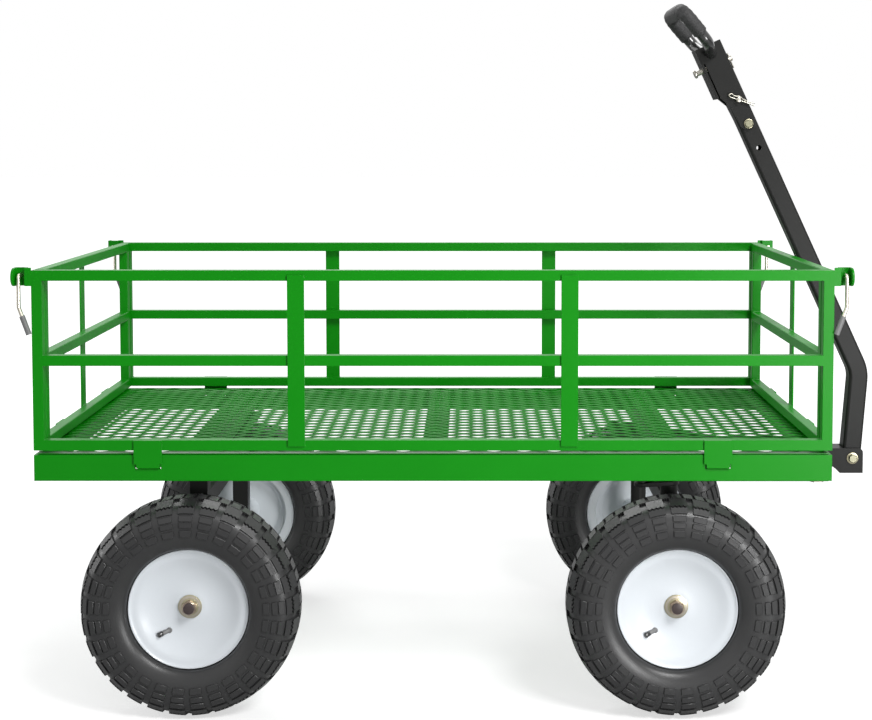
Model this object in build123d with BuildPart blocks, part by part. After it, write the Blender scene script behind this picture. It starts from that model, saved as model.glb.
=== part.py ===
# A steel garden cart: an expanded-metal deck on an angle-iron frame, rail panels on all four
# sides, four pneumatic wheels, steering spindles with tie rods, and a pull handle that leans
# back over the front panel when the cart is parked.
#
# +X points to the pull handle, +Z up. The origin is on the floor under the middle of the cart.

import os
from math import cos, hypot, radians, sin, tan

from build123d import *

os.makedirs("parts", exist_ok=True)

# Clearances
seat_gap = 0.3
running_gap = 0.1
overrun = 5.0

# Deck frame, rolled angle with the mesh lying on its flat leg
deck_length = 1219.0
deck_width = 610.0
angle_depth = 40.0
angle_leg = 25.0
angle_wall = 3.0
cross_width = 38.0
cross_depth = 36.0

# Expanded metal
mesh_thickness = 2.5
mesh_inset = 4.0
mesh_rows = 10
mesh_columns = 15
mesh_strand = 7.0

# Rail panels
tube = 16.0
panel_proud = 0.5
panel_foot = 7.0
panel_height = 276.0
panel_strip_width = 26.0
panel_strip_wall = 3.0
panel_strip_overlap = 9.0
side_strip_spacing = 416.0
end_panel_clearance = 6.0

# Hook tabs that carry the panels in slots of the frame and turn in them
tab_width = 43.0
tab_neck = 35.0
tab_wall = 3.0
tab_drop = 20.0
tab_pivot_drop = 14.0
tab_reach = 7.0
slot_margin = 2.0
slot_ease = 0.5
side_tab_spacing = 870.0
end_tab_spacing = 300.0

# Corner latches
latch_reach = 27.0
latch_height = 28.0
latch_wall = 3.0
latch_below_top = 10.0
latch_shelf = 10.0
latch_depth = 12.0
latch_rod = 6.0
latch_rod_drop = 48.0
latch_rod_set = 14.0
latch_sleeve = 8.5
latch_sleeve_length = 30.0
latch_rod_lean = 20.0

# Wheels
tyre_diameter = 337.0
tyre_width = 100.0
tyre_shoulder = 80.0
tyre_crown_drop = 9.0
tyre_bulge_share = 0.48
tyre_clearance = 25.0
wheelbase = 745.0
wheel_set_in = 12.0
rim_width = 62.0
rim_lip_diameter = 184.0
rim_seat_diameter = 156.0
rim_well_diameter = 136.0
rim_well_width = 22.0
rim_wall = 3.0
rim_dish_set = 6.0
hub_diameter = 38.0
hub_inner_reach = 40.0
hub_outer_reach = 15.0
axle_diameter = 16.0
axle_shoulder = 24.0
axle_overhang = 3.0
washer_diameter = 42.0
washer_wall = 2.5
nut_across = 27.0
nut_height = 9.0

# Axle frames
post_set_in = 81.0
post_size = 28.0
post_wall = 3.0
post_foot = 24.0
mount_plate_length = 70.0
mount_plate_wall = 4.0
beam_size = 28.0
beam_drop = 38.0
beam_post_gap = 38.0

# Steering spindles
sleeve_drop = 26.0
sleeve_rise = 28.5
kingpin_diameter = 19.0
spindle_collar = 28.0
steering_arm = 45.0
arm_wall = 6.0
arm_width = 24.0
arm_boss = 33.0
arm_drop = 25.0
link_pin = 8.0
link_eye = 20.0
link_wall = 5.0
link_lift = 2.0
link_head = 13.0
link_head_wall = 3.0
link_width = 12.0
link_spread = 36.0

# Steering head at the nose
steer_pin_ahead = 47.5
steer_pin = 16.0
draw_plate_width = 90.0
draw_plate_wall = 6.0
draw_plate_nose = 16.0
draft_bar_width = 46.0
draft_bar_wall = 6.0
draft_bar_drop = 66.0
bolt_head_height = 4.5
bolt_head_across = 24.0
head_height_share = 0.33

# Tongue yoke
yoke_barrel = 32.0
yoke_cheek_wall = 4.0
yoke_rear_ahead = 72.0
yoke_front_ahead = 122.5
yoke_bottom_drop = 52.0
yoke_top_drop = 9.0
yoke_corner = 8.0
yoke_chamfer = 11.0
yoke_stop_wall = 3.0
stop_gap = 0.9

# Tow bar, a bent square tube
tilt_ahead = 104.1
tilt_drop = 26.0
tilt_bolt = 12.0
bar_size = 32.0
bar_wall = 3.0
bar_corner = 5.0
bar_heel = 10.0
bar_lower_length = 150.0
bar_upper_length = 617.5
bar_lean_forward = 4.5
bar_lean_back = 24.8
bar_bend_radius = 60.0
grip_bolt_drop = 150.5
lock_pin_drop = 106.0
spare_hole_drop = 195.5
hitch_pin_drop = 37.5
lock_hole = 9.0
grip_bolt = 12.0
grip_bolt_head = 17.0

# Grip bracket, a channel astride the end of the bar
bracket_wall = 4.0
bracket_set_back = 32.0
bracket_web_drop = 90.5
bracket_slit_drop = 27.5
bracket_slit = 2.5
bracket_foot = 19.0
bracket_foot_round = 9.0
hitch_pin = 9.5
hitch_pin_length = 68.0
hitch_head_set = 10.5
hitch_head = 14.0
hitch_head_wall = 5.0
lock_pin = 8.5
lock_pin_overhang = 9.0

# Padded D-grip, given by its places: past the bar's end, behind the bar's middle, half width
grip_tube = 19.0
grip_foam = 24.5
grip_corner = 42.0
grip_foot_rise = -13.0
grip_foot_back = 9.0
grip_foot_half = 14.0
grip_knee_rise = 6.0
grip_knee_back = 15.0
grip_knee_half = 71.0
grip_top_rise = 79.0
grip_top_back = 37.0
grip_top_half = 82.0
foam_start_share = 0.3

# Layout worked out from the sizes above
grip_bolt_along = bar_upper_length - grip_bolt_drop
lock_pin_along = bar_upper_length - lock_pin_drop
spare_hole_along = bar_upper_length - spare_hole_drop
hitch_pin_along = bar_upper_length - hitch_pin_drop
bracket_web_start = bar_upper_length - bracket_web_drop
bracket_slit_end = bar_upper_length - bracket_slit_drop
axle_level = tyre_diameter / 2
frame_bottom = tyre_diameter + tyre_clearance
deck_top = frame_bottom + angle_depth
track = deck_width - 2 * wheel_set_in
post_track = track - 2 * post_set_in
beam_post_track = draw_plate_width + mount_plate_length + 2 * beam_post_gap
beam_top = frame_bottom - beam_drop
sleeve_top = frame_bottom - sleeve_drop
sleeve_bottom = axle_level + sleeve_rise
arm_level = frame_bottom - arm_drop
draft_bar_level = frame_bottom - draft_bar_drop
yoke_bottom = frame_bottom - yoke_bottom_drop
yoke_top = frame_bottom - yoke_top_drop
tilt_level = frame_bottom - tilt_drop
bend_turn = bar_lean_forward + bar_lean_back
bend_mean = (bar_lean_back - bar_lean_forward) / 2
bend_set = bar_bend_radius / cos(radians(bend_turn / 2))
bend_ahead = tilt_ahead + bar_lower_length * sin(radians(bar_lean_forward))
bend_reach = bend_ahead - bend_set * cos(radians(bend_mean)) + bar_bend_radius + bar_size / 2
deck_x = (latch_reach - bend_reach) / 2
front_edge = deck_x + deck_length / 2
rear_edge = deck_x - deck_length / 2
front_axle_x = deck_x + wheelbase / 2
rear_axle_x = deck_x - wheelbase / 2
steer_x = front_edge + steer_pin_ahead
tilt_x = front_edge + tilt_ahead
side_face = deck_width / 2 + panel_proud
end_face = deck_length / 2 + panel_proud
latch_rod_place = latch_reach - latch_wall - latch_rod
panel_bottom = deck_top + panel_foot
panel_top = panel_bottom + panel_height
end_panel_width = 2 * (side_face - tube - end_panel_clearance)
tab_pivot_level = deck_top - tab_pivot_drop
tab_bottom = deck_top - tab_drop
tab_plate_bottom = tab_pivot_level + seat_gap
link_level = arm_level + arm_wall + link_lift
link_top = link_level + link_wall + seat_gap
bar_bend_x = front_edge + bend_ahead
bar_bend_level = tilt_level + bar_lower_length * cos(radians(bar_lean_forward))


def save(part, name):
    """Label a finished part and write it as one STEP file."""
    part.label = name
    export_step(part, f"parts/{name}.step")


def on_bar(along, forward=0.0):
    """X and Z of a place on the upper tow bar: along it from the bend, and forward of its middle."""
    lean = radians(bar_lean_back)
    x = bar_bend_x - along * sin(lean) + forward * cos(lean)
    z = bar_bend_level + along * cos(lean) + forward * sin(lean)
    return x, z


# Deck frame
# Each slot row is: x, y, and 1 for a slot across a side wall or 0 for one across an end wall
side_y = deck_width / 2
end_x = deck_length / 2
slots = []
for along in (-side_tab_spacing / 2, side_tab_spacing / 2):
    slots += [(deck_x + along, -side_y, 1), (deck_x + along, side_y, 1)]
for across in (-end_tab_spacing / 2, end_tab_spacing / 2):
    slots += [(deck_x - end_x, across, 0), (deck_x + end_x, across, 0)]

slot_width = tab_neck + 2 * slot_margin
neck_swing = hypot(panel_proud + tab_wall, tab_pivot_level - tab_bottom)
tongue_swing = hypot(tab_reach, tab_pivot_level - tab_bottom - tab_wall)
slot_height = neck_swing + tongue_swing + 2 * slot_ease
slot_middle = tab_pivot_level + (tongue_swing - neck_swing) / 2
with BuildPart() as deck_frame:
    with BuildSketch(Plane.XY.offset(frame_bottom)):
        with Locations((deck_x, 0)):
            Rectangle(deck_length, deck_width)
            Rectangle(deck_length - 2 * angle_wall, deck_width - 2 * angle_wall, mode=Mode.SUBTRACT)
    extrude(amount=angle_depth)
    with BuildSketch(Plane.XY.offset(deck_top - angle_wall)):
        with Locations((deck_x, 0)):
            Rectangle(deck_length, deck_width)
            Rectangle(deck_length - 2 * angle_leg, deck_width - 2 * angle_leg, mode=Mode.SUBTRACT)
    extrude(amount=angle_wall)
    for slot_x, slot_y, on_side in slots:
        with Locations((slot_x, slot_y, slot_middle)):
            if on_side:
                Box(slot_width, 2 * angle_wall + overrun, slot_height, mode=Mode.SUBTRACT)
            else:
                Box(2 * angle_wall + overrun, slot_width, slot_height, mode=Mode.SUBTRACT)
save(deck_frame.part, "deck_frame")

# Cross members, folded channels that carry the mesh over both axles and at the middle
with BuildPart() as cross_members:
    for cross_x in (rear_axle_x, deck_x, front_axle_x):
        with BuildSketch(Plane.XZ.offset(-(side_y - angle_wall))):
            with Locations((cross_x, deck_top - cross_depth / 2)):
                Rectangle(cross_width, cross_depth)
            with Locations((cross_x, deck_top - angle_wall - cross_depth / 2)):
                Rectangle(cross_width - 2 * angle_wall, cross_depth, mode=Mode.SUBTRACT)
        extrude(amount=deck_width - 2 * angle_wall)
        for side in (-1, 1):
            with Locations((cross_x, side * side_y, deck_top)):
                Box(cross_width, 2 * angle_leg, 2 * angle_wall, mode=Mode.SUBTRACT)
save(cross_members.part, "cross_members")

# Expanded-metal deck: rows of long diamonds, every second row shifted by half a pitch
mesh_length = deck_length - 2 * mesh_inset
mesh_width = deck_width - 2 * mesh_inset
pitch_x = (mesh_length - mesh_strand) / mesh_columns
pitch_y = (mesh_width - mesh_strand) / mesh_rows
diamond_long = pitch_x / 2 - mesh_strand / 2 * hypot(pitch_x, pitch_y) / pitch_y
diamond_short = pitch_y / 2 - mesh_strand / 2 * hypot(pitch_x, pitch_y) / pitch_x
mesh_places = []
for row in range(2 * mesh_rows - 1):
    shifted = row % 2
    for column in range(mesh_columns - shifted):
        place_x = (column - (mesh_columns - shifted - 1) / 2) * pitch_x
        place_y = (row - mesh_rows + 1) * pitch_y / 2
        mesh_places.append((deck_x + place_x, place_y))
with BuildPart() as deck_mesh:
    with BuildSketch(Plane.XY.offset(deck_top)):
        with Locations((deck_x, 0)):
            Rectangle(mesh_length, mesh_width)
    extrude(amount=mesh_thickness)
    with BuildSketch(Plane.XY.offset(deck_top)):
        with Locations(*mesh_places):
            Polygon(
                (-diamond_long, 0),
                (0, -diamond_short),
                (diamond_long, 0),
                (0, diamond_short),
                align=None,
            )
    extrude(amount=mesh_thickness, mode=Mode.SUBTRACT)
save(deck_mesh.part, "deck_mesh")


# Rail panels
def rail_panel(face, width, strips, tab_spacing, latches):
    """One open rail panel: three rails, end posts, flat strips and hook tabs.

    face is the plane of its outer face, with x along the panel and y up from the floor.
    """
    rail_middles = (panel_bottom + tube / 2, (panel_bottom + panel_top) / 2, panel_top - tube / 2)
    plate_height = panel_bottom + tube - tab_plate_bottom
    with BuildPart() as panel:
        with BuildSketch(face):
            for rail_middle in rail_middles:
                with Locations((0, rail_middle)):
                    Rectangle(width, tube)
            for post in (-1, 1):
                with Locations((post * (width - tube) / 2, panel_bottom + panel_height / 2)):
                    Rectangle(tube, panel_height)
        extrude(amount=-tube)
        with BuildSketch(face):
            for strip in strips:
                with Locations((strip, panel_bottom + panel_height / 2)):
                    Rectangle(panel_strip_width, panel_height - 2 * (tube - panel_strip_overlap))
        extrude(amount=panel_strip_wall)
        with BuildSketch(face):
            for tab in (-1, 1):
                with Locations((tab * tab_spacing / 2, panel_bottom + tube)):
                    Rectangle(tab_width, plate_height, align=(Align.CENTER, Align.MAX))
                with Locations((tab * tab_spacing / 2, tab_plate_bottom)):
                    Rectangle(tab_neck, tab_plate_bottom - tab_bottom, align=(Align.CENTER, Align.MAX))
        extrude(amount=tab_wall)
        with BuildSketch(face.offset(tab_wall)):
            for tab in (-1, 1):
                with Locations((tab * tab_spacing / 2, tab_bottom)):
                    Rectangle(tab_neck, tab_wall, align=(Align.CENTER, Align.MIN))
        extrude(amount=-(tab_wall + panel_proud + tab_reach))
        if latches:
            add(latch_plates(face, width))
    return panel.part


def latch_plates(face, width):
    """Corner plates at both panel ends, each folded into a trough with a round ear outside it."""
    middle = panel_top - latch_below_top
    trough_width = latch_reach - latch_shelf + latch_wall
    trough_x = width / 2 + latch_reach - trough_width / 2
    opening = trough_width - 2 * latch_wall
    with BuildPart() as plates:
        with BuildSketch(face):
            for end in (-1, 1):
                with Locations((end * (width / 2 + latch_shelf / 2), middle)):
                    Rectangle(latch_shelf, latch_height)
        extrude(amount=-latch_wall)
        with BuildSketch(face):
            for end in (-1, 1):
                with Locations((end * trough_x, middle)):
                    Rectangle(trough_width, latch_height)
        extrude(amount=-latch_depth)
        with BuildSketch(face):
            for end in (-1, 1):
                with Locations((end * trough_x, middle)):
                    Rectangle(opening, latch_height + overrun)
        extrude(amount=-(latch_depth - latch_wall), mode=Mode.SUBTRACT)
        with BuildSketch(face):
            for end in (-1, 1):
                with Locations((end * (width / 2 + latch_rod_place), panel_top - tube / 2)):
                    Circle(latch_rod / 2 + running_gap)
        extrude(amount=-(latch_depth + overrun), mode=Mode.SUBTRACT)
        for end in (-1, 1):
            ear = face.from_local_coords((end * (width / 2 + latch_reach), middle, 0))
            with BuildSketch(Plane(origin=ear, x_dir=face.z_dir, z_dir=face.x_dir * end)):
                Circle(latch_height / 2)
                Rectangle(
                    latch_height,
                    latch_height,
                    align=(Align.MAX, Align.CENTER),
                    mode=Mode.SUBTRACT,
                )
            extrude(amount=-latch_wall)
    return plates.part


# Each panel row is: name, x and y of its outward direction, width, strips, spacing of the tabs,
# and whether it carries the corner latches
side_strips = (-side_strip_spacing / 2, side_strip_spacing / 2)
panel_rows = (
    ("right_side_panel", 0, -1, deck_length, side_strips, side_tab_spacing, True),
    ("left_side_panel", 0, 1, deck_length, side_strips, side_tab_spacing, True),
    ("front_panel", 1, 0, end_panel_width, (0,), end_tab_spacing, False),
    ("rear_panel", -1, 0, end_panel_width, (0,), end_tab_spacing, False),
)
for name, out_x, out_y, width, strips, tab_spacing, latches in panel_rows:
    face = Plane(
        origin=(deck_x + out_x * end_face, out_y * side_face, 0),
        x_dir=(-out_y, out_x, 0),
        z_dir=(out_x, out_y, 0),
    )
    save(rail_panel(face, width, strips, tab_spacing, latches), name)

# Corner latch rods and their vinyl sleeves
rod_out = side_face + latch_rod / 2 + seat_gap
rod_in = side_face - latch_depth - latch_rod / 2
rod_high = panel_top - tube / 2
rod_low = rod_high - latch_rod_drop
rod_reach = deck_length / 2 + latch_rod_place
sleeve_angle = radians(latch_rod_lean)


def latch_rod_piece(side, end):
    """One bent latch rod: through the trough, down the outside, then leaning to the post."""
    x = deck_x + end * rod_reach
    tail = latch_rod_set + latch_sleeve_length
    tail_x = x - end * tail * sin(sleeve_angle)
    with BuildPart() as rod:
        with BuildLine():
            path = FilletPolyline(
                (x, side * rod_in, rod_high),
                (x, side * rod_out, rod_high),
                (x, side * rod_out, rod_low),
                (tail_x, side * rod_out, rod_low - tail * cos(sleeve_angle)),
                radius=latch_rod / 2 + seat_gap,
            )
        with BuildSketch(Plane(origin=path @ 0, z_dir=path % 0)):
            Circle(latch_rod / 2)
        sweep()
    return rod.part


def latch_sleeve_piece(side, end):
    """The vinyl sleeve over the lower end of a latch rod."""
    start_x = deck_x + end * (rod_reach - latch_rod_set * sin(sleeve_angle))
    start = (start_x, side * rod_out, rod_low - latch_rod_set * cos(sleeve_angle))
    down = (-end * sin(sleeve_angle), 0, -cos(sleeve_angle))
    with BuildPart() as sleeve:
        with BuildSketch(Plane(origin=start, z_dir=down)):
            Circle(latch_sleeve / 2)
            Circle(latch_rod / 2, mode=Mode.SUBTRACT)
        extrude(amount=latch_sleeve_length)
    return sleeve.part


for side_name, side in (("right", -1), ("left", 1)):
    rods = [latch_rod_piece(side, end) for end in (-1, 1)]
    sleeves = [latch_sleeve_piece(side, end) for end in (-1, 1)]
    save(Compound(children=rods), f"{side_name}_latch_rods")
    save(Compound(children=sleeves), f"{side_name}_latch_sleeves")


# Wheels
def wheel_plane(x, y, outward):
    """Section plane of a wheel: x outwards along the axle, y across it."""
    return Plane(origin=(x, y, axle_level), x_dir=(0, outward, 0), z_dir=(1, 0, 0))


def tyre_piece(x, y, outward):
    """Tyre as a turned ring: beads on the rim, full sidewalls and a low crown."""
    crown = tyre_diameter / 2
    wide = tyre_width / 2
    shoulder = tyre_shoulder / 2
    crown_radius = (shoulder**2 + tyre_crown_drop**2) / (2 * tyre_crown_drop)
    bead = rim_seat_diameter / 2
    bead_half = rim_width / 2 - rim_wall - seat_gap
    lip = rim_lip_diameter / 2
    flank_start = lip + rim_wall
    bulge = flank_start + tyre_bulge_share * (crown - tyre_crown_drop - flank_start)
    flank_end = 2 * bulge - flank_start
    with BuildPart() as tyre:
        with BuildSketch(wheel_plane(x, y, outward)):
            with BuildLine():
                Polyline(
                    (0, bead),
                    (bead_half, bead),
                    (bead_half, lip),
                    (rim_width / 2, flank_start),
                )
                ThreePointArc((rim_width / 2, flank_start), (wide, bulge), (shoulder, flank_end))
                Line((shoulder, flank_end), (shoulder, crown - tyre_crown_drop))
                RadiusArc((shoulder, crown - tyre_crown_drop), (0, crown), -crown_radius)
                Line((0, crown), (0, bead))
            make_face()
            mirror(about=Plane.YZ)
        revolve(axis=Axis((x, y, axle_level), (0, 1, 0)))
    return tyre.part


def rim_piece(x, y, outward):
    """Pressed rim: rolled lips, bead seats and well, with a dished disc and a hub barrel."""
    lip = rim_lip_diameter / 2
    seat = rim_seat_diameter / 2
    well = rim_well_diameter / 2
    half = rim_width / 2
    well_half = rim_well_width / 2
    shoulder = well_half + (seat - well) / 2
    hub = hub_diameter / 2
    with BuildPart() as rim:
        with BuildSketch(wheel_plane(x, y, outward)):
            with BuildLine():
                Polyline(
                    (0, well),
                    (well_half, well),
                    (shoulder, seat),
                    (half - rim_wall, seat),
                    (half - rim_wall, lip),
                    (half, lip),
                    (half, seat - rim_wall),
                    (shoulder + rim_wall / 2, seat - rim_wall),
                    (well_half + rim_wall / 2, well - rim_wall),
                    (0, well - rim_wall),
                    close=True,
                )
            make_face()
            mirror(about=Plane.YZ)
            with BuildLine():
                Polyline(
                    (-rim_wall / 2, well - rim_wall / 2),
                    (rim_wall / 2, well - rim_wall / 2),
                    (rim_dish_set + rim_wall / 2, hub),
                    (rim_dish_set - rim_wall / 2, hub),
                    close=True,
                )
            make_face()
            with Locations((-hub_inner_reach, axle_diameter / 2 + running_gap)):
                Rectangle(
                    hub_inner_reach + hub_outer_reach,
                    hub - axle_diameter / 2 - running_gap,
                    align=(Align.MIN, Align.MIN),
                )
        revolve(axis=Axis((x, y, axle_level), (0, 1, 0)))
    return rim.part


def axle_nut_piece(x, y, outward):
    """Washer and hexagon nut that keep a wheel on its axle."""
    seat = y + outward * (hub_outer_reach + seat_gap)
    face = Plane(origin=(x, seat, axle_level), x_dir=(1, 0, 0), z_dir=(0, outward, 0))
    with BuildPart() as nut:
        with BuildSketch(face):
            Circle(washer_diameter / 2)
        extrude(amount=washer_wall)
        with BuildSketch(face):
            RegularPolygon(nut_across / 2, 6, major_radius=False)
        extrude(amount=washer_wall + nut_height)
        with BuildSketch(face):
            Circle(axle_diameter / 2)
        extrude(amount=washer_wall + nut_height, mode=Mode.SUBTRACT)
    return nut.part


# Each wheel row is: name, x of its axle, side
wheel_rows = (
    ("front_right", front_axle_x, -1),
    ("front_left", front_axle_x, 1),
    ("rear_right", rear_axle_x, -1),
    ("rear_left", rear_axle_x, 1),
)
for name, axle_x, side in wheel_rows:
    wheel_y = side * track / 2
    save(tyre_piece(axle_x, wheel_y, side), f"{name}_tyre")
    save(rim_piece(axle_x, wheel_y, side), f"{name}_rim")
    save(axle_nut_piece(axle_x, wheel_y, side), f"{name}_nut")

# Rear axle frame: two posts under plates, a cross tube, and the axle through the feet
channel_bottom = deck_top - cross_depth
plate_bottom = channel_bottom - mount_plate_wall
axle_end = track / 2 + hub_outer_reach + seat_gap + washer_wall + nut_height + axle_overhang
shoulder_end = track / 2 - hub_inner_reach - seat_gap
post_bottom = axle_level - post_foot


def post_piece(x, y, bottom):
    """A square tube post with the plate that bolts it under its cross member."""
    with BuildPart() as post:
        with BuildSketch(Plane.XY.offset(bottom)):
            with Locations((x, y)):
                Rectangle(post_size, post_size)
                Rectangle(post_size - 2 * post_wall, post_size - 2 * post_wall, mode=Mode.SUBTRACT)
        extrude(amount=plate_bottom - bottom)
        with BuildSketch(Plane.XY.offset(plate_bottom)):
            with Locations((x, y)):
                Rectangle(mount_plate_length, mount_plate_length)
        extrude(amount=mount_plate_wall)
    return post.part


def beam_piece(x, half_length):
    """The cross tube between two posts or sleeves."""
    with BuildPart() as beam:
        with BuildSketch(Plane.XZ.offset(-half_length)):
            with Locations((x, beam_top - beam_size / 2)):
                Rectangle(beam_size, beam_size)
                Rectangle(beam_size - 2 * post_wall, beam_size - 2 * post_wall, mode=Mode.SUBTRACT)
        extrude(amount=2 * half_length)
    return beam.part


with BuildPart() as rear_axle_frame:
    for side in (-1, 1):
        add(post_piece(rear_axle_x, side * post_track / 2, post_bottom))
    add(beam_piece(rear_axle_x, (post_track - post_size) / 2))
    with BuildSketch(Plane.XZ.offset(-post_track)):
        with Locations((rear_axle_x, axle_level)):
            Circle(axle_diameter / 2)
    extrude(amount=2 * post_track, mode=Mode.SUBTRACT)
save(rear_axle_frame.part, "rear_axle_frame")

with BuildPart() as rear_axle:
    with BuildSketch(Plane.XZ.offset(-axle_end)):
        with Locations((rear_axle_x, axle_level)):
            Circle(axle_diameter / 2)
    extrude(amount=2 * axle_end)
    for side in (-1, 1):
        post_face = side * (post_track + post_size) / 2
        with BuildSketch(Plane(origin=(rear_axle_x, post_face, axle_level), z_dir=(0, side, 0))):
            Circle(axle_shoulder / 2)
        extrude(amount=shoulder_end - (post_track + post_size) / 2)
save(rear_axle.part, "rear_axle")

# Front axle frame: cross tube on two posts, with a kingpin sleeve at each end
with BuildPart() as front_axle_frame:
    for side in (-1, 1):
        add(post_piece(front_axle_x, side * beam_post_track / 2, beam_top))
    add(beam_piece(front_axle_x, post_track / 2))
    for side in (-1, 1):
        sleeve_y = side * post_track / 2
        with BuildSketch(Plane.XY.offset(sleeve_bottom)):
            with Locations((front_axle_x, sleeve_y)):
                Circle(post_size / 2)
        extrude(amount=sleeve_top - sleeve_bottom)
        with BuildSketch(Plane.XY.offset(sleeve_bottom)):
            with Locations((front_axle_x, sleeve_y)):
                Circle(kingpin_diameter / 2 + running_gap)
        extrude(amount=sleeve_top - sleeve_bottom, mode=Mode.SUBTRACT)
save(front_axle_frame.part, "front_axle_frame")


# Steering spindles: kingpin shaft, stub axle and steering arm in one welded piece
def link_pin_piece(x, y):
    """A shouldered pin that stands on an arm, with its head over the eye of a tie rod."""
    with BuildPart() as pin:
        with BuildSketch(Plane.XY.offset(arm_level)):
            with Locations((x, y)):
                Circle(link_head / 2)
        extrude(amount=arm_wall + link_lift - seat_gap)
        with BuildSketch(Plane.XY.offset(arm_level)):
            with Locations((x, y)):
                Circle(link_pin / 2)
        extrude(amount=link_top - arm_level)
        with BuildSketch(Plane.XY.offset(link_top)):
            with Locations((x, y)):
                Circle(link_head / 2)
        extrude(amount=link_head_wall)
    return pin.part


def spindle_piece(side):
    """Kingpin shaft in its sleeve, stub axle through the wheel, and the arm on top."""
    y = side * post_track / 2
    pin_y = y + side * link_spread / 2
    collar_bottom = axle_level - spindle_collar / 2
    shaft_top = arm_level + arm_wall
    with BuildPart() as spindle:
        with BuildSketch(Plane.XY.offset(collar_bottom)):
            with Locations((front_axle_x, y)):
                Circle(spindle_collar / 2)
        extrude(amount=sleeve_bottom - seat_gap - collar_bottom)
        with BuildSketch(Plane.XY.offset(axle_level)):
            with Locations((front_axle_x, y)):
                Circle(kingpin_diameter / 2)
        extrude(amount=shaft_top - axle_level)
        stub_face = Plane(origin=(front_axle_x, y, axle_level), x_dir=(1, 0, 0), z_dir=(0, side, 0))
        with BuildSketch(stub_face):
            Circle(axle_diameter / 2)
        extrude(amount=axle_end - post_track / 2)
        with BuildSketch(stub_face):
            Circle(axle_shoulder / 2)
        extrude(amount=shoulder_end - post_track / 2)
        with BuildSketch(Plane.XY.offset(arm_level)):
            with Locations((front_axle_x, y)):
                Circle(arm_boss / 2)
            with Locations((front_axle_x - steering_arm, pin_y)):
                Circle(arm_width / 2)
            make_hull()
        extrude(amount=arm_wall)
        add(link_pin_piece(front_axle_x - steering_arm, pin_y))
    return spindle.part


# Tie rods: flat bars with an eye at each end, from the steering arms to the tail of the yoke
def tie_rod_piece(side):
    """A tie rod that stays parallel to itself as the wheels turn."""
    rear = (front_axle_x - steering_arm, side * (post_track + link_spread) / 2)
    front = (steer_x - steering_arm, side * link_spread / 2)
    middle = ((rear[0] + front[0]) / 2, (rear[1] + front[1]) / 2)
    length = hypot(front[0] - rear[0], front[1] - rear[1])
    turn = (Vector(*front) - Vector(*rear)).get_signed_angle(Vector(1, 0, 0), Vector(0, 0, -1))
    with BuildPart() as rod:
        with BuildSketch(Plane.XY.offset(link_level)):
            for eye in (rear, front):
                with Locations(eye):
                    Circle(link_eye / 2)
            with Locations(Location(middle + (0,), (0, 0, turn))):
                Rectangle(length, link_width)
            for eye in (rear, front):
                with Locations(eye):
                    Circle(link_pin / 2 + running_gap, mode=Mode.SUBTRACT)
        extrude(amount=link_wall)
    return rod.part


for side_name, side in (("right", -1), ("left", 1)):
    save(spindle_piece(side), f"{side_name}_spindle")
    save(tie_rod_piece(side), f"{side_name}_tie_rod")

# Nose of the bed: a draw plate under the frame and a draft bar back to the front axle
plate_start = front_axle_x - mount_plate_length / 2
with BuildPart() as draw_plate:
    with BuildSketch(Plane.XY.offset(frame_bottom - draw_plate_wall)):
        with Locations((plate_start, 0)):
            Rectangle(
                steer_x + draw_plate_nose - plate_start,
                draw_plate_width,
                align=(Align.MIN, Align.CENTER),
            )
        with Locations((steer_x, 0)):
            Circle(steer_pin / 2, mode=Mode.SUBTRACT)
    extrude(amount=draw_plate_wall)
    with BuildSketch(Plane.XY.offset(frame_bottom)):
        with Locations((front_axle_x, 0)):
            Rectangle(mount_plate_length, draw_plate_width)
    extrude(amount=channel_bottom - frame_bottom)
save(draw_plate.part, "draw_plate")

with BuildPart() as draft_bar:
    draft_start = front_axle_x + beam_size / 2
    with BuildSketch(Plane.XY.offset(draft_bar_level)):
        with Locations((draft_start, 0)):
            Rectangle(
                steer_x + draw_plate_nose - draft_start,
                draft_bar_width,
                align=(Align.MIN, Align.CENTER),
            )
        with Locations((steer_x, 0)):
            Circle(steer_pin / 2, mode=Mode.SUBTRACT)
    extrude(amount=draft_bar_wall)
save(draft_bar.part, "draft_bar")

with BuildPart() as steering_pin:
    with BuildSketch(Plane.XY.offset(draft_bar_level - bolt_head_height)):
        with Locations((steer_x, 0)):
            Circle(steer_pin / 2)
    extrude(amount=frame_bottom - draft_bar_level + 2 * bolt_head_height)
    for head_level in (draft_bar_level - bolt_head_height, frame_bottom):
        with BuildSketch(Plane.XY.offset(head_level)):
            with Locations((steer_x, 0)):
                RegularPolygon(bolt_head_across / 2, 6, major_radius=False)
        extrude(amount=bolt_head_height)
save(steering_pin.part, "steering_pin")

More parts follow.
